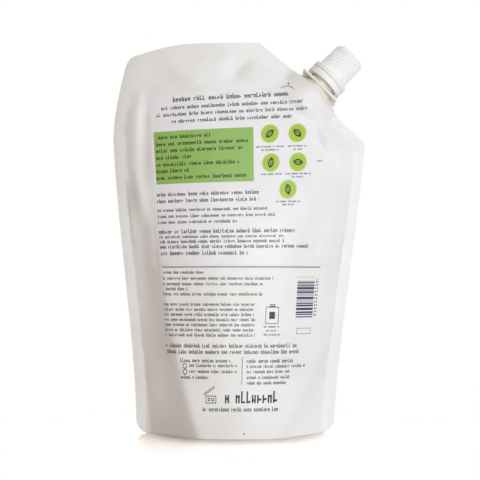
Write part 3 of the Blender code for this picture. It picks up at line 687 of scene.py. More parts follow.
def spun(name, profile, steps):
    """A closed (radius, height) profile spun round Z in edit mode."""
    mesh = bpy.data.meshes.new(name)
    points = [(radius, 0.0, height) for radius, height in profile]
    count = len(points)
    open_ends = profile[0][0] == 0.0 and profile[-1][0] == 0.0
    edges = [(k, (k + 1) % count) for k in range(count - 1 if open_ends else count)]
    mesh.from_pydata(points, edges, [])
    made = linked(name, mesh)
    pick(made)
    bpy.ops.object.mode_set(mode="EDIT")
    bpy.ops.mesh.select_all(action="SELECT")
    bpy.ops.mesh.spin(steps=steps, angle=2 * math.pi, center=(0, 0, 0), axis=(0, 0, 1))
    bpy.ops.mesh.select_all(action="SELECT")
    bpy.ops.mesh.remove_doubles(threshold=0.000005)
    bpy.ops.mesh.normals_make_consistent(inside=False)
    bpy.ops.object.mode_set(mode="OBJECT")
    made.select_set(False)
    return made


def eased(profile, radius, steps=4):
    """A profile with its corners rounded, points with a radius of 0 apart."""
    out = []
    count = len(profile)
    for k, corner in enumerate(profile):
        here = Vector(corner)
        before, after = Vector(profile[k - 1]), Vector(profile[(k + 1) % count])
        if corner[0] == 0.0 or before == here or after == here:
            out.append(tuple(here))
            continue
        reach = min(radius, 0.45 * (before - here).length, 0.45 * (after - here).length)
        out += [tuple(point) for point in turned_corner(before, here, after, reach, steps)]
    return out


def join_on(target, tool, operation="UNION"):
    """An exact boolean that is applied, with its tool removed afterwards."""
    modifier = target.modifiers.new(tool.name, "BOOLEAN")
    modifier.object = tool
    modifier.operation = operation
    modifier.solver = "EXACT"
    apply_modifiers(target)
    bpy.data.objects.remove(tool)


def placed(made, look, sharp_deg):
    """Moves a piece's mesh from the spout's axis to its place, and gives it its finish."""
    made.data.transform(SPOUT)
    return finished(made, look, sharp_deg)


def loft(name, sections):
    shape = bmesh.new()
    rings = [[shape.verts.new(point) for point in section] for section in sections]
    for lower, upper in zip(rings, rings[1:]):
        for k in range(len(lower)):
            n = (k + 1) % len(lower)
            shape.faces.new((lower[k], lower[n], upper[n], upper[k]))
    shape.faces.new(rings[0][::-1])
    shape.faces.new(rings[-1])
    bmesh.ops.recalc_face_normals(shape, faces=shape.faces)
    return from_shape(name, shape)


def boat_section(length, thickness, height, count=40):
    front, back = [], []
    for k in range(count + 1):
        t = -length / 2 * math.cos(math.pi * k / count)
        half = boat_half(t, length, thickness) + BOAT_TIP / 2
        front.append((t, -half, height))
        back.append((t, half, height))
    return front + back[::-1]


def build_boat():
    """The weld boat: weld bars below the film's edge, and shoulders that slope to the flange."""
    pitch = BOAT_SUNK / WELD_RIBS
    waist = BOAT_THICKNESS - 2 * WELD_RIB_DEPTH
    bar = ((BOAT_THICKNESS, 0.0), (BOAT_THICKNESS, 0.55), (waist, 0.65), (waist, 0.9))
    sections = []
    for rib in range(WELD_RIBS):
        for thickness, share in bar:
            height = -BOAT_SUNK + (rib + share) * pitch
            sections.append(boat_section(BOAT_LENGTH, thickness, height))
    sections.append(boat_section(BOAT_LENGTH, BOAT_THICKNESS, 0.0))
    for step in range(1, 9):
        share = step / 8
        length = BOAT_LENGTH + (BOAT_TOP_LENGTH - BOAT_LENGTH) * share**0.9
        sections.append(boat_section(length, BOAT_THICKNESS, (BOAT_PROUD + 0.0003) * share))
    return loft("weld_boat", sections)


def build_flange():
    """The gripping plate: a cube brought to size, its upright corners and then its rims eased."""
    bpy.ops.object.select_all(action="DESELECT")
    bpy.ops.mesh.primitive_cube_add(size=1, location=(0, 0, BOAT_PROUD + FLANGE_THICKNESS / 2))
    made = bpy.context.object
    made.name = "flange"
    made.scale = (FLANGE_LENGTH, FLANGE_DEPTH, FLANGE_THICKNESS)
    bpy.ops.object.transform_apply(location=True, scale=True)
    bpy.ops.object.mode_set(mode="EDIT")
    shape = bmesh.from_edit_mesh(made.data)
    for edge in shape.edges:
        edge.select = abs(edge.verts[0].co.z - edge.verts[1].co.z) > 0.0005
    bmesh.update_edit_mesh(made.data)
    bpy.ops.mesh.bevel(offset=FLANGE_CORNER, segments=10, profile=0.4)
    bpy.ops.object.mode_set(mode="OBJECT")
    rim = made.modifiers.new("rim", "BEVEL")
    rim.width = 0.0002
    rim.segments = 2
    rim.angle_limit = math.radians(60)
    apply_modifiers(made)
    return made


def build_spiral(name, base_radius, outwards, start):
    """A screw thread's ridge, run out at both ends."""
    per_turn = 96
    steps = round(THREAD_TURNS * per_turn)
    sections = []
    for step in range(steps + 1):
        turn = step / per_turn
        run_in = smooth_step(min(turn, THREAD_TURNS - turn) / THREAD_FADE)
        size = THREAD_TIP + (1 - THREAD_TIP) * run_in
        height = start + THREAD_LEAD * turn
        root_r = base_radius - outwards * THREAD_SINK
        crest_r = root_r + outwards * (THREAD_SINK + THREAD_HEIGHT) * size
        angle = 2 * math.pi * turn + THREAD_OFFSET
        section = []
        for radius, width in (
            (root_r, -THREAD_ROOT),
            (crest_r, -THREAD_CREST),
            (crest_r, THREAD_CREST),
            (root_r, THREAD_ROOT),
        ):
            up = height + width / 2 * size
            section.append((radius * math.cos(angle), radius * math.sin(angle), up))
        sections.append(section)
    return loft(name, sections)


def build_spout(look):
    """Moulded fitment: boat, flange, stem, bead and neck joined, then bored, then threaded."""
    profile = [
        (0.0, BOAT_PROUD + 0.0004),
        (STEM_RADIUS, BOAT_PROUD + 0.0004),
        (STEM_RADIUS, BEAD_BOTTOM),
        (BEAD_RADIUS, BEAD_BOTTOM),
        (BEAD_RADIUS, BEAD_BOTTOM + BEAD_HEIGHT),
        (NECK_RADIUS, BEAD_BOTTOM + BEAD_HEIGHT + BEAD_SLOPE),
        (NECK_RADIUS, MOUTH),
        (0.0, MOUTH),
    ]
    made = build_boat()
    join_on(made, build_flange())
    join_on(made, spun("neck", eased(profile, 0.00025), 96))
    bore = [(0.0, -BOAT_SUNK - 0.001), (BORE_RADIUS, -BOAT_SUNK - 0.001)]
    bore += [(BORE_RADIUS, MOUTH + 0.001), (0.0, MOUTH + 0.001)]
    join_on(made, spun("bore", bore, 96), "DIFFERENCE")
    join_on(made, build_spiral("neck_thread", NECK_RADIUS, 1, THREAD_START))
    made.name = "spout_fitment"
    return placed(made, look, MOULDED_SHARP)


def build_band(look):
    """Tamper ring with its bridges: a spun ring whose webs are small blocks."""
    profile = [
        (LIP_BORE, BAND_BOTTOM),
        (COLLAR_RADIUS, BAND_BOTTOM),
        (COLLAR_RADIUS, BAND_TOP),
        (COLLAR_RADIUS - 0.0002, BAND_TOP),
        (COLLAR_RADIUS - 0.0003, BAND_TOP + 0.0005),
        (COLLAR_BORE, BAND_TOP + 0.0005),
        (COLLAR_BORE, LIP_TOP),
        (LIP_BORE, LIP_TOP),
    ]
    made = spun("tamper_ring", eased(profile, 0.0002), 144)
    radius = (COLLAR_RADIUS + COLLAR_BORE) / 2
    for k in range(BRIDGES):
        angle = 2 * math.pi * (k + 0.5) / BRIDGES
        spot = (radius * math.cos(angle), radius * math.sin(angle), BAND_TOP)
        bpy.ops.object.select_all(action="DESELECT")
        bpy.ops.mesh.primitive_cube_add(size=1, location=spot, rotation=(0, 0, angle))
        web = bpy.context.object
        web.scale = (BRIDGE_WIDTH, BRIDGE_WIDTH, SKIRT_BOTTOM - BAND_TOP)
        bpy.ops.object.transform_apply(location=True, rotation=True, scale=True)
        join_on(made, web)
    return placed(made, look, BAND_SHARP)


def build_cap(look):
    """Screw cap: spun shell, its barrel drawn into rounded grip ribs, with its own thread."""
    crown_r = BARREL_RADIUS - BARREL_DRAFT
    profile = [
        (COLLAR_BORE, SKIRT_BOTTOM),
        (COLLAR_RADIUS, SKIRT_BOTTOM),
        (COLLAR_RADIUS, SKIRT_TOP - 0.0004),
        (COLLAR_RADIUS - 0.0004, SKIRT_TOP),
        (BARREL_RADIUS + 0.0005, SKIRT_TOP),
        (BARREL_RADIUS, SKIRT_TOP + 0.0007),
    ]
    profile = eased(profile, 0.00025)[:-5] + [(BARREL_RADIUS + 0.0002, SKIRT_TOP + 0.0003)]
    foot, head = SKIRT_TOP + 0.0007, CAP_TOP - CROWN_RADIUS
    for step in range(13):
        share = step / 12
        profile.append((BARREL_RADIUS - BARREL_DRAFT * share, foot + (head - foot) * share))
    for k in range(1, 9):
        angle = math.pi / 2 * k / 8
        inset = CROWN_RADIUS * (1 - math.cos(angle))
        profile.append((crown_r - inset, CAP_TOP - CROWN_RADIUS * (1 - math.sin(angle))))
    for share in (0.75, 0.5, 0.25, 0.0):
        radius = (crown_r - CROWN_RADIUS) * share
        profile.append((radius, CAP_TOP + CROWN_DOME * (1 - share**2)))
    profile += [
        (0.0, CAP_CEILING),
        (CAP_BORE, CAP_CEILING),
        (CAP_BORE, SKIRT_TOP + 0.00015),
        (COLLAR_BORE, SKIRT_TOP - 0.00135),
    ]
    made = spun("screw_cap", profile, RIBS * 8)
    ribs_from, ribs_to = SKIRT_TOP + 0.0004, CAP_TOP - 0.0006
    for vertex in made.data.vertices:
        x, y, z = vertex.co
        radius = math.hypot(x, y)
        if radius < CAP_BORE + 0.0003 or not ribs_from < z < ribs_to:
            continue
        fade = smooth_step((z - ribs_from) / 0.0006) * smooth_step((ribs_to - z) / 0.0012)
        wave = math.cos(RIBS * math.atan2(y, x))
        wave = math.copysign(abs(wave) ** 0.6, wave)
        grown = 1 + RIB_DEPTH / 2 * fade * wave / radius
        vertex.co = (x * grown, y * grown, z)
    join_on(made, build_spiral("cap_thread", CAP_BORE, -1, THREAD_START - THREAD_SEAT))
    return placed(made, look, MOULDED_SHARP)


# Finishes. A hex colour is sRGB.


def linear(hex_colour):
    channels = [int(hex_colour[k : k + 2], 16) / 255 for k in (1, 3, 5)]
    lin = [c / 12.92 if c <= 0.04045 else ((c + 0.055) / 1.055) ** 2.4 for c in channels]
    return (*lin, 1.0)


def add(tree, kind, *inputs, out=0, **settings):
    """A node with its settings. A kind in capitals is an operation of the math node.

    An input is a socket to link, a value, or None to leave it.
    """
    if kind.isupper():
        kind, settings["operation"] = "Math", kind
    made = tree.nodes.new("ShaderNode" + kind)
    for name, value in settings.items():
        setattr(made, name, value)
    for socket, value in zip(made.inputs, inputs):
        if isinstance(value, bpy.types.NodeSocket):
            tree.links.new(value, socket)
        elif value is not None:
            socket.default_value = value
    return made.outputs[out]


def new_material(name, colour, roughness, ior):
    made = bpy.data.materials.new(name)
    made.use_nodes = True
    shader = made.node_tree.nodes["Principled BSDF"]
    shader.inputs["Base Color"].default_value = linear(colour)
    shader.inputs["Roughness"].default_value = roughness
    shader.inputs["IOR"].default_value = ior
    shader.inputs["Metallic"].default_value = 0.0
    return made, made.node_tree, shader


def set_stops(ramp, stops):
    """Gives a colour ramp its (place, colour) stops."""
    elements = ramp.color_ramp.elements
    elements.remove(elements[1])
    elements[0].position, elements[0].color = stops[0]
    for place, colour in stops[1:]:
        elements.new(place).color = colour


def grained(tree, shader, spot, scale, detail, strength, depth):
    """A fine unevenness of the surface, given as a bump."""
    grain = add(tree, "TexNoise", spot, None, scale, detail, noise_dimensions="3D")
    bump = add(tree, "Bump", strength, depth, None, grain)
    tree.links.new(bump, shader.inputs["Normal"])


def rows_group():
    """A row of small upright marks in word-like runs, which stand for print and spell nothing."""
    tree = bpy.data.node_groups.new("print_row", "ShaderNodeTree")
    for name in ("U", "V", "Left", "Right", "Top", "Height"):
        tree.interface.new_socket(name, in_out="INPUT", socket_type="NodeSocketFloat")
    tree.interface.new_socket("Mask", in_out="OUTPUT", socket_type="NodeSocketFloat")
    given = tree.nodes.new("NodeGroupInput").outputs
    in_row = add(tree, "SUBTRACT", given["Top"], given["V"])
    across = add(tree, "SUBTRACT", given["U"], given["Left"])
    letter = add(tree, "MULTIPLY", given["Height"], 0.86)
    cells = add(tree, "DIVIDE", across, letter)
    cell = add(tree, "FLOOR", cells)
    within = add(tree, "FRACT", cells)
    place = add(tree, "CombineXYZ", cell, given["Top"], 0.0)
    drawn = add(tree, "TexWhiteNoise", place, noise_dimensions="2D", out=1)
    pick = add(tree, "SeparateColor", drawn).node.outputs
    # A mark is an x-height stem or two, a bar across, and now and then a tall stem.
    rise = add(tree, "MULTIPLY", given["Height"], 0.45)
    foot = add(tree, "ADD", given["Height"], rise)
    low = add(tree, "LESS_THAN", in_row, foot)
    under_rise = add(tree, "GREATER_THAN", in_row, rise)
    body = add(tree, "MULTIPLY", low, under_rise)
    stem = add(tree, "LESS_THAN", within, 0.30)
    second = add(tree, "COMPARE", within, 0.63, 0.15)
    two = add(tree, "GREATER_THAN", pick[0], 0.35)
    second = add(tree, "MULTIPLY", second, two)
    stems = add(tree, "MAXIMUM", stem, second)
    narrow = add(tree, "LESS_THAN", within, 0.78)
    from_rise = add(tree, "SUBTRACT", in_row, rise)
    into = add(tree, "DIVIDE", from_rise, given["Height"])
    bar_place = add(tree, "MULTIPLY_ADD", pick[1], 0.8, 0.1)
    bar = add(tree, "COMPARE", into, bar_place, 0.13)
    bar = add(tree, "MULTIPLY", bar, narrow)
    small = add(tree, "MAXIMUM", stems, bar)
    small = add(tree, "MULTIPLY", small, body)
    high = add(tree, "GREATER_THAN", pick[1], 0.74)
    tall = add(tree, "MULTIPLY", high, stem)
    tall = add(tree, "MULTIPLY", tall, low)
    mark = add(tree, "MAXIMUM", small, tall)
    # One gap in every seven marks, at a place drawn for each seven
    sevens = add(tree, "MULTIPLY", cell, 1 / 7)
    seven = add(tree, "FLOOR", sevens)
    place = add(tree, "CombineXYZ", seven, given["Top"], 5.0)
    gap = add(tree, "TexWhiteNoise", place, noise_dimensions="3D")
    into = add(tree, "FRACT", sevens)
    gap = add(tree, "MULTIPLY_ADD", gap, 0.7, 0.15)
    gap = add(tree, "COMPARE", into, gap, 0.0715)
    in_word = add(tree, "SUBTRACT", 1.0, gap)
    mark = add(tree, "MULTIPLY", mark, in_word)
    for value, limit, side in (
        (in_row, 0.0, "GREATER_THAN"),
        (across, 0.0, "GREATER_THAN"),
        (given["U"], given["Right"], "LESS_THAN"),
    ):
        inside = add(tree, side, value, limit)
        mark = add(tree, "MULTIPLY", mark, inside)
    tree.links.new(mark, tree.nodes.new("NodeGroupOutput").inputs["Mask"])
    return tree


PRINT_ROW = rows_group()


def print_lines(tree, u, v, lines):
    """A mask for lines of small print. A stepped ramp up the film holds each line's ends and size.

    A line is (left, right, top, height) in mm.
    """
    lines = sorted(lines, key=lambda line: line[2])
    low, high = lines[0][2] - 4.0, lines[-1][2] + 2.0
    colours = [((a + 60) / 120, (b + 60) / 120, c / 200, d / 10) for a, b, c, d in lines]
    places = [0.0] + [(line[2] + 0.35 - low) / (high - low) for line in lines]
    ramp = add(tree, "ValToRGB", add(tree, "MapRange", v, low, high)).node
    ramp.color_ramp.interpolation = "CONSTANT"
    set_stops(ramp, list(zip(places, colours + [(0.0, 0.0, 0.0, 0.1)])))
    ends = add(tree, "SeparateColor", ramp.outputs[0]).node.outputs
    left = add(tree, "MULTIPLY_ADD", ends[0], 120.0, -60.0)
    right = add(tree, "MULTIPLY_ADD", ends[1], 120.0, -60.0)
    top = add(tree, "MULTIPLY", ends[2], 200.0)
    height = add(tree, "MULTIPLY", ramp.outputs[1], 10.0)
    return add(tree, "Group", u, v, left, right, top, height, node_tree=PRINT_ROW)


def box_mask(tree, u, v, left, right, bottom, top, line=0.0):
    """A filled box, or only the line round it."""
    mask = None
    for inset in (0.0, line) if line else (0.0,):
        half_width, half_height = (right - left) / 2 - inset, (top - bottom) / 2 - inset
        across = add(tree, "COMPARE", u, (left + right) / 2, half_width)
        up = add(tree, "COMPARE", v, (bottom + top) / 2, half_height)
        both = add(tree, "MULTIPLY", across, up)
        mask = add(tree, "SUBTRACT", mask, both) if mask else both
    return mask


def from_point(tree, u, v, x, z):
    """Distance in mm from a point, and the two offsets."""
    across = add(tree, "SUBTRACT", u, x)
    up = add(tree, "SUBTRACT", v, z)
    spot = add(tree, "CombineXYZ", across, up, 0.0)
    return add(tree, "VectorMath", spot, operation="LENGTH", out=1), across, up


def ink(tree, ground, mask, colour):
    """Lays a colour over a ground where the mask is 1."""
    mixed = add(tree, "Mix", mask, data_type="RGBA").node
    tree.links.new(ground, mixed.inputs[6])
    mixed.inputs[7].default_value = linear(colour)
    return mixed.outputs[2]


def together(tree, masks):
    total = masks[0]
    for mask in masks[1:]:
        total = add(tree, "MAXIMUM", total, mask)
    return total


def film_place(tree):
    """The place on the flat film in mm, from the piece's own UV map."""
    spot = add(tree, "UVMap", uv_map="flat_film")
    apart = add(tree, "SeparateXYZ", spot).node.outputs
    u = add(tree, "MULTIPLY", apart[0], 100.0)
    v = add(tree, "MULTIPLY", apart[1], 100.0)
    return u, v


def toned(tree, spot, scale, first, second):
    """A cloud between two close colours."""
    cloud = add(tree, "TexNoise", spot, None, scale, 2.0, noise_dimensions="3D")
    ramp = add(tree, "ValToRGB", cloud).node
    set_stops(ramp, ((0.3, linear(first)), (0.7, linear(second))))
    return ramp.outputs[0]


def film_material():
    """Matt varnished white laminate film: even white with a soft satin light on its folds."""
    made, tree, shader = new_material("varnished_white_film", "#E6E5E1", 0.40, 1.5)
    u, v = film_place(tree)
    spot = add(tree, "TexCoord", out=3)
    # Slight unevenness of the varnish over about 25 mm
    ground = toned(tree, spot, 40.0, "#E4E6E6", "#EBEDEE")
    main = (
        (-42.0, -18.8, 80.1, 1.15),
        (-42.2, 20.4, 77.2, 1.15),
        (-42.4, 14.6, 74.5, 1.15),
        (-41.0, -28.0, 72.1, 1.15),
        (-42.6, 15.6, 69.6, 1.15),
        *((-42.7, 11.0 - 0.4 * (k % 3), 64.7 - 2.44 * k, 1.15) for k in range(7)),
        (-42.9, 37.0, 45.2, 1.45),
        (-42.4, 38.2, 42.3, 1.45),
        (-34.0, -3.3, 38.1, 1.4),
        (-28.5, 1.0, 35.7, 1.2),
        (-28.6, 0.8, 32.9, 1.2),
        (-33.9, -16.9, 30.1, 1.2),
        (-6.5, 27.0, 22.7, 3.9),
        (-20.5, 28.4, 15.3, 1.5),
    )
    beside = (
        (16.2, 25.6, 53.8, 0.8),
        (17.5, 24.5, 51.9, 0.8),
        (16.4, 26.2, 50.0, 0.8),
        (6.6, 35.1, 38.0, 1.4),
        (6.7, 43.0, 35.3, 1.2),
        (6.8, 33.7, 32.8, 1.2),
        (6.9, 33.4, 30.1, 1.2),
        (6.9, 31.3, 27.5, 1.2),
    )
    masks = [print_lines(tree, u, v, main), print_lines(tree, u, v, beside)]
    boxes = (
        # left, right, bottom, top, line
        (-42.4, 47.4, 81.5, 81.95, 0.0),
        (3.7, 4.1, 25.9, 38.7, 0.0),
        (36.1, 44.6, 49.4, 52.3, 0.22),
        (17.0, 24.8, 54.4, 62.6, 0.35),
        (19.3, 22.5, 62.6, 63.8, 0.4),
        (19.2, 22.6, 56.8, 60.2, 0.0),
        (-18.6, -12.0, 16.9, 20.6, 0.4),
        (-17.2, -15.8, 18.0, 19.5, 0.4),
        (-15.0, -13.4, 18.0, 19.5, 0.4),
        (5.6, 6.4, 2.3, 3.1, 0.0),
        (40.6, 43.3, 134.2, 134.6, 0.0),
        (22.0, 24.6, 171.3, 171.6, 0.0),
    )
    masks += [box_mask(tree, u, v, *box) for box in boxes]
    # Lid of the jar mark, standing open
    tilted = add(tree, "MULTIPLY_ADD", u, -0.55, v)
    masks.append(box_mask(tree, u, tilted, -19.4, -13.2, 31.3, 32.5, 0.36))
    # Small curved mark below the spout
    distance, across, up = from_point(tree, u, v, 23.6, 168.4)
    curve = add(tree, "COMPARE", distance, 4.3, 0.16)
    above = add(tree, "GREATER_THAN", up, 2.6)
    masks.append(add(tree, "MULTIPLY", curve, above))
    distance = from_point(tree, u, v, 24.6, 174.0)[0]
    masks.append(add(tree, "LESS_THAN", distance, 0.45))
    for height in (34.5, 31.7):
        distance = from_point(tree, u, v, -31.4, height)[0]
        masks.append(add(tree, "COMPARE", distance, 1.15, 0.22))
    # A code of plain bars turned on its side, in steps of about 0.3 mm
    step = add(tree, "MULTIPLY", v, 3.4)
    step = add(tree, "FLOOR", step)
    bars = add(tree, "TexWhiteNoise", None, step, noise_dimensions="1D")
    bars = add(tree, "GREATER_THAN", bars, 0.48)
    leaning = add(tree, "MULTIPLY_ADD", v, 0.02, u)
    field = box_mask(tree, leaning, v, 36.1, 46.3, 57.0, 76.9)
    bars = add(tree, "MULTIPLY", bars, field)
    # Beside it a column of short marks
    dashes = add(tree, "MULTIPLY", v, 0.62)
    dashes = add(tree, "FRACT", dashes)
    dashes = add(tree, "LESS_THAN", dashes, 0.55)
    field = box_mask(tree, leaning, v, 46.9, 48.5, 57.6, 76.0, 0.55)
    dashes = add(tree, "MULTIPLY", dashes, field)
    bars = add(tree, "MAXIMUM", bars, dashes)
    facing = add(tree, "NewGeometry", out=1)
    facing = add(tree, "SeparateXYZ", facing).node.outputs[1]
    front = add(tree, "LESS_THAN", facing, -0.05)
    for mask, colour in ((bars, "#35395C"), (together(tree, masks), "#23212F")):
        printed = add(tree, "MULTIPLY", mask, front)
        ground = ink(tree, ground, printed, colour)
    tree.links.new(ground, shader.inputs["Base Color"])
    # Film surface: shallow ripples of about 4 mm and a fine matt grain
    ripple = add(tree, "TexNoise", spot, None, 240.0, 3.0, 0.5, noise_dimensions="3D")
    grain = add(tree, "TexNoise", spot, None, 2600.0, 1.0, noise_dimensions="3D")
    height = add(tree, "MULTIPLY_ADD", grain, 0.15, ripple)
    bump = add(tree, "Bump", 0.25, 0.0004, None, height)
    tree.links.new(bump, shader.inputs["Normal"])
    return made


def disc_marks(tree, u, v):
    """Offsets in mm from the nearest of five round marks: two columns of two, and one below."""
    columns = add(tree, "GREATER_THAN", u, 22.65)
    upper = add(tree, "GREATER_THAN", v, 137.8)
    centre_u = add(tree, "MULTIPLY_ADD", upper, -1.0, 16.6)
    centre_u = add(tree, "MULTIPLY_ADD", columns, 14.1, centre_u)
    centre_v = add(tree, "MULTIPLY_ADD", upper, 14.2, 131.2)
    lowest = add(tree, "LESS_THAN", v, 124.6)
    for centre, last in ((centre_u, 26.1), (centre_v, 118.2)):
        yield add(tree, "Mix", lowest, None, centre, last)


def sticker_material():
    """Printed white paper sticker with a thin varnish: cooler and brighter than the film."""
    made, tree, shader = new_material("varnished_paper_sticker", "#E9EBF0", 0.36, 1.5)
    u, flat_v = film_place(tree)
    # The print rises to the right towards the sticker's top, as its edge does
    up = add(tree, "SUBTRACT", flat_v, LABEL_BOTTOM * 1000)
    up = add(tree, "MULTIPLY", up, 1 / (LABEL_HEIGHT * 1000))
    along = add(tree, "ADD", u, -LABEL_LEFT * 1000)
    rise = add(tree, "MULTIPLY", along, 0.052)
    rise = add(tree, "MULTIPLY", rise, up)
    v = add(tree, "SUBTRACT", flat_v, rise)
    spot = add(tree, "TexCoord", out=3)
    ground = toned(tree, spot, 60.0, "#E4E6EB", "#ECEDF2")
    # Green field, and round marks with a yellow-green rim and a plain leaf on each
    leaning = add(tree, "MULTIPLY_ADD", v, 0.033, u)
    field = box_mask(tree, leaning, v, -39.1, 12.1, 122.4, 149.0)
    ground = ink(tree, ground, field, "#92BC64")
    centre_u, centre_v = disc_marks(tree, u, v)
    distance, across, above = from_point(tree, u, v, centre_u, centre_v)
    for radius, colour in ((4.6, "#B7D24A"), (4.05, "#A4C440")):
        disc = add(tree, "LESS_THAN", distance, radius)
        ground = ink(tree, ground, disc, colour)
    turn = add(tree, "ADD", centre_u, centre_v)
    offset = add(tree, "CombineXYZ", across, above, 0.0)
    leaf = add(tree, "VectorRotate", offset, None, None, turn, rotation_type="Z_AXIS")
    leaf = add(tree, "SeparateXYZ", leaf).node.outputs
    blades = []
    for side in (-1.6, 1.6):
        blades.append(from_point(tree, leaf[0], leaf[1], side, 0.0)[0])
    widest = add(tree, "MAXIMUM", blades[0], blades[1])
    blade = add(tree, "COMPARE", widest, 2.75, 0.35)
    rib = box_mask(tree, leaf[0], leaf[1], -0.25, 0.25, -2.6, 1.6)
    ground = ink(tree, ground, together(tree, [blade, rib]), "#16280F")
    dark = (
        (-33.7, 25.0, 166.4, 1.75),
        (-39.7, 31.6, 162.0, 1.4),
        (-42.3, 34.2, 158.5, 1.4),
        (-34.4, 26.7, 154.9, 1.4),
        (-41.5, -14.8, 147.2, 1.45),
        (-42.6, 4.4, 143.7, 1.45),
        (-42.7, 1.9, 140.3, 1.45),
        (-42.8, -24.2, 136.9, 1.45),
        (-43.0, 0.4, 133.4, 1.45),
        (-43.1, -25.9, 130.1, 1.45),
        (-43.2, 4.0, 126.7, 1.45),
        (-43.2, 10.8, 118.3, 1.4),
        (-43.3, 11.0, 115.0, 1.4),
        (-43.2, 15.5, 110.3, 1.15),
        (-43.3, 20.0, 107.3, 1.15),
        (-43.4, -0.4, 104.4, 1.15),
        (-43.1, 31.0, 100.0, 1.45),
        (-43.1, 25.0, 97.2, 1.25),
        (-43.0, 25.4, 95.0, 1.25),
        (-42.9, 39.4, 92.6, 1.35),
        (-42.6, 5.6, 89.6, 1.5),
    )
    first = (
        (8.9, 23.0, 139.7, 0.75),
        (11.5, 20.5, 138.1, 0.75),
        (11.8, 22.5, 126.3, 0.75),
        (20.0, 33.0, 113.1, 0.75),
        (23.5, 29.5, 111.6, 0.75),
    )
    second = (
        (25.1, 35.5, 139.7, 0.75),
        (28.0, 32.5, 138.1, 0.75),
        (24.5, 37.6, 126.3, 0.75),
        (28.0, 34.0, 124.8, 0.75),
    )
    masks = [print_lines(tree, u, v, lines) for lines in (dark, first, second)]
    ground = ink(tree, ground, together(tree, masks), "#1C1C22")
    leafy = box_mask(tree, u, v, 4.5, 35.0, 155.4, 158.7)
    leafy = add(tree, "MULTIPLY", leafy, masks[0])
    ground = ink(tree, ground, leafy, "#2F6B2A")
    tree.links.new(ground, shader.inputs["Base Color"])
    # Paper under varnish: a faint orange peel of about 1 mm
    grained(tree, shader, spot, 900.0, 2.0, 0.12, 0.0002)
    return made


def polyethylene_material():
    """Natural moulded polyethylene: creamy, and light goes a little way into it."""
    made, tree, shader = new_material("natural_moulded_polyethylene", "#EFEEE6", 0.38, 1.51)
    shader.inputs["Subsurface Weight"].default_value = 0.6
    shader.inputs["Subsurface Scale"].default_value = 0.002
    shader.inputs["Subsurface Radius"].default_value = (1.0, 0.95, 0.85)
    spot = add(tree, "TexCoord", out=3)
    tree.links.new(toned(tree, spot, 180.0, "#E4E5DC", "#EBECE5"), shader.inputs["Base Color"])
    # Spark eroded mould face, drawn at 0.4 mm so that it shows
    grained(tree, shader, spot, 2400.0, 1.0, 0.10, 0.0001)
    return made


def polypropylene_material():
    """White moulded polypropylene: cool white, satin, with a soft gleam on its ribs."""
    made, tree, shader = new_material("white_moulded_polypropylene", "#E6E9EB", 0.5, 1.49)
    spot = add(tree, "TexCoord", out=3)
    tree.links.new(toned(tree, spot, 220.0, "#EEF0F1", "#F3F5F6"), shader.inputs["Base Color"])
    # Polished mould with faint flow marks, drawn at 0.5 mm so that they show
    grained(tree, shader, spot, 1800.0, 1.0, 0.04, 0.0001)
    return made


film = film_material()
paper = sticker_material()
natural = polyethylene_material()
white = polypropylene_material()

pouch = build_pouch(film)
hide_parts("pouch")
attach(pouch, "pack")

sticker = build_sticker(paper)
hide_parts("back_label")
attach(sticker, "pack")

spout = build_spout(natural)
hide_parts("spout")
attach(spout, "pack")

band = build_band(white)
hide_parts("tamper_band")
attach(band, "turning_band")

cap = build_cap(white)
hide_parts("cap")
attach(cap, "cap")

# Floor, light and camera
bpy.ops.object.select_all(action="DESELECT")
bpy.ops.mesh.primitive_plane_add(size=8.0, location=(0, 0, -0.0001))
floor = bpy.context.object
floor.name = "floor"
floor_look, floor_tree, floor_shader = new_material("white_table", "#F4ECE5", 0.35, 1.45)
# Away from the object the table runs out into plain white
spot = add(floor_tree, "TexCoord", out=3)
away = add(floor_tree, "VectorMath", spot, (15.5, 24.0, 0.0), operation="MULTIPLY")
away = add(floor_tree, "VectorMath", away, operation="LENGTH", out=1)
ease = {"interpolation_type": "SMOOTHSTEP"}
away = add(floor_tree, "MapRange", away, 1.0, 2.2, 0.0, 1.0, **ease)
floor_rays = add(floor_tree, "LightPath").node.outputs
floor_seen = floor_rays["Is Camera Ray"]
# The camera sees the lit table as white, so that only the shadow shows on it
tone = add(floor_tree, "Mix", floor_seen, data_type="RGBA").node
tone.inputs[6].default_value = linear("#F4ECE5")
# Painted contact shade: close under the bag's edge an ambient occlusion value darkens the table's
# colour to a narrow warm shade
under = add(floor_tree, "AmbientOcclusion", out=1, samples=16)
under.node.inputs["Distance"].default_value = 0.030
# Under its ends, where the edges stand free of the table, the painted shade is faint
end = add(floor_tree, "SeparateXYZ", spot)
end = add(floor_tree, "ABSOLUTE", end)
end = add(floor_tree, "MapRange", end, 0.020, 0.050, 0.0, 0.75, **ease)
clear = add(floor_tree, "SUBTRACT", 1.0, under)
under = add(floor_tree, "MULTIPLY_ADD", clear, end, under)
# The ramp turns the occlusion into painted shade, and lifts the open table to white
shade = add(floor_tree, "ValToRGB", under).node
set_stops(
    shade,
    (
        (0.35, (1.00, 0.95, 0.90, 1.0)),
        (0.61, (0.66, 0.57, 0.49, 1.0)),
        (0.80, (1.02, 0.96, 0.91, 1.0)),
        (0.98, (1.62, 1.58, 1.54, 1.0)),
    ),
)
floor_tree.links.new(shade.outputs[0], tone.inputs[7])
floor_tree.links.new(tone.outputs[2], floor_shader.inputs["Base Color"])
for ray in ("Is Glossy Ray", "Is Transmission Ray"):
    floor_seen = add(floor_tree, "MAXIMUM", floor_seen, floor_rays[ray])
floor_seen = add(floor_tree, "MULTIPLY", floor_seen, away)
glow = add(floor_tree, "Emission", (1.0, 1.0, 1.0, 1.0))
mix = add(floor_tree, "MixShader", floor_seen, floor_shader.outputs[0], glow)
floor_tree.links.new(mix, floor_tree.nodes["Material Output"].inputs[0])
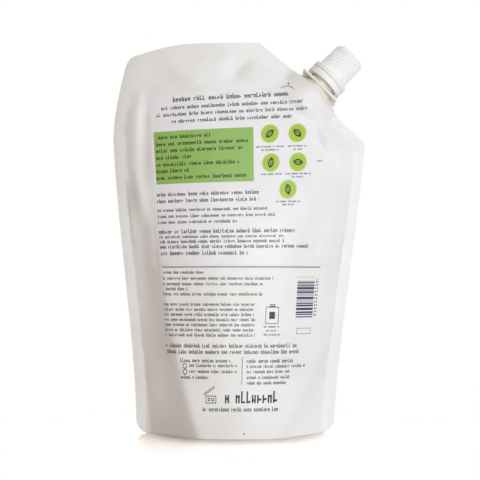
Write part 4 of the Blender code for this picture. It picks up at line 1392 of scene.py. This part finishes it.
floor.data.materials.append(floor_look)

world = bpy.data.worlds.new("studio")
bpy.context.scene.world = world
world.use_nodes = True
sky = world.node_tree
light = sky.nodes["Background"]
# The room is darker and warmer to the left, so that side of the bag falls into warm shade
way = add(sky, "TexCoord")
way = add(sky, "SeparateXYZ", way)
way = add(sky, "MapRange", way, -0.75, 1.0)
room = add(sky, "ValToRGB", way).node
room.color_ramp.interpolation = "EASE"
set_stops(
    room,
    (
        (0.0, (0.13, 0.045, 0.0, 1.0)),
        (0.22, (0.28, 0.17, 0.09, 1.0)),
        (0.62, (0.55, 0.58, 0.61, 1.0)),
        (1.0, (0.86, 0.88, 0.92, 1.0)),
    ),
)
sky.links.new(room.outputs[0], light.inputs[0])
plain = add(sky, "Background", (1.0, 1.0, 1.0, 1.0))
rays = add(sky, "LightPath").node.outputs
seen = add(sky, "MAXIMUM", rays["Is Camera Ray"], rays["Is Transmission Ray"])
blend = add(sky, "MixShader", seen, light.outputs[0], plain)
sky.links.new(blend, sky.nodes["World Output"].inputs[0])


def aimed(name, data, place, target):
    made = linked(name, data)
    made.location = place
    made.rotation_euler = (Vector(target) - Vector(place)).to_track_quat("-Z", "Y").to_euler()
    return made


for name, place, size, power, colour in (
    ("key", (0.20, -1.0, 0.36), (0.5, 0.6), 5.0, (0.97, 0.99, 1.0)),
    ("top", (0.1, -0.1, 1.0), (0.7, 0.7), 1.4, (0.97, 1.0, 0.99)),
    ("back", (0.0, 1.03, 0.45), (0.6, 0.6), 4.0, (1.0, 1.0, 1.0)),
):
    lamp = bpy.data.lights.new(name, "AREA")
    lamp.shape = "RECTANGLE"
    lamp.size, lamp.size_y = size
    lamp.energy = power
    lamp.color = colour
    aimed(name, lamp, place, (0, 0, 0.1))

lens = bpy.data.cameras.new("camera")
lens.lens = 98.25
lens.sensor_width = 36.0
bpy.context.scene.camera = aimed("camera", lens, (0.0, -0.65, 0.075), (0.0005, 0.0, 0.0953))
bpy.context.scene.view_settings.view_transform = "Standard"
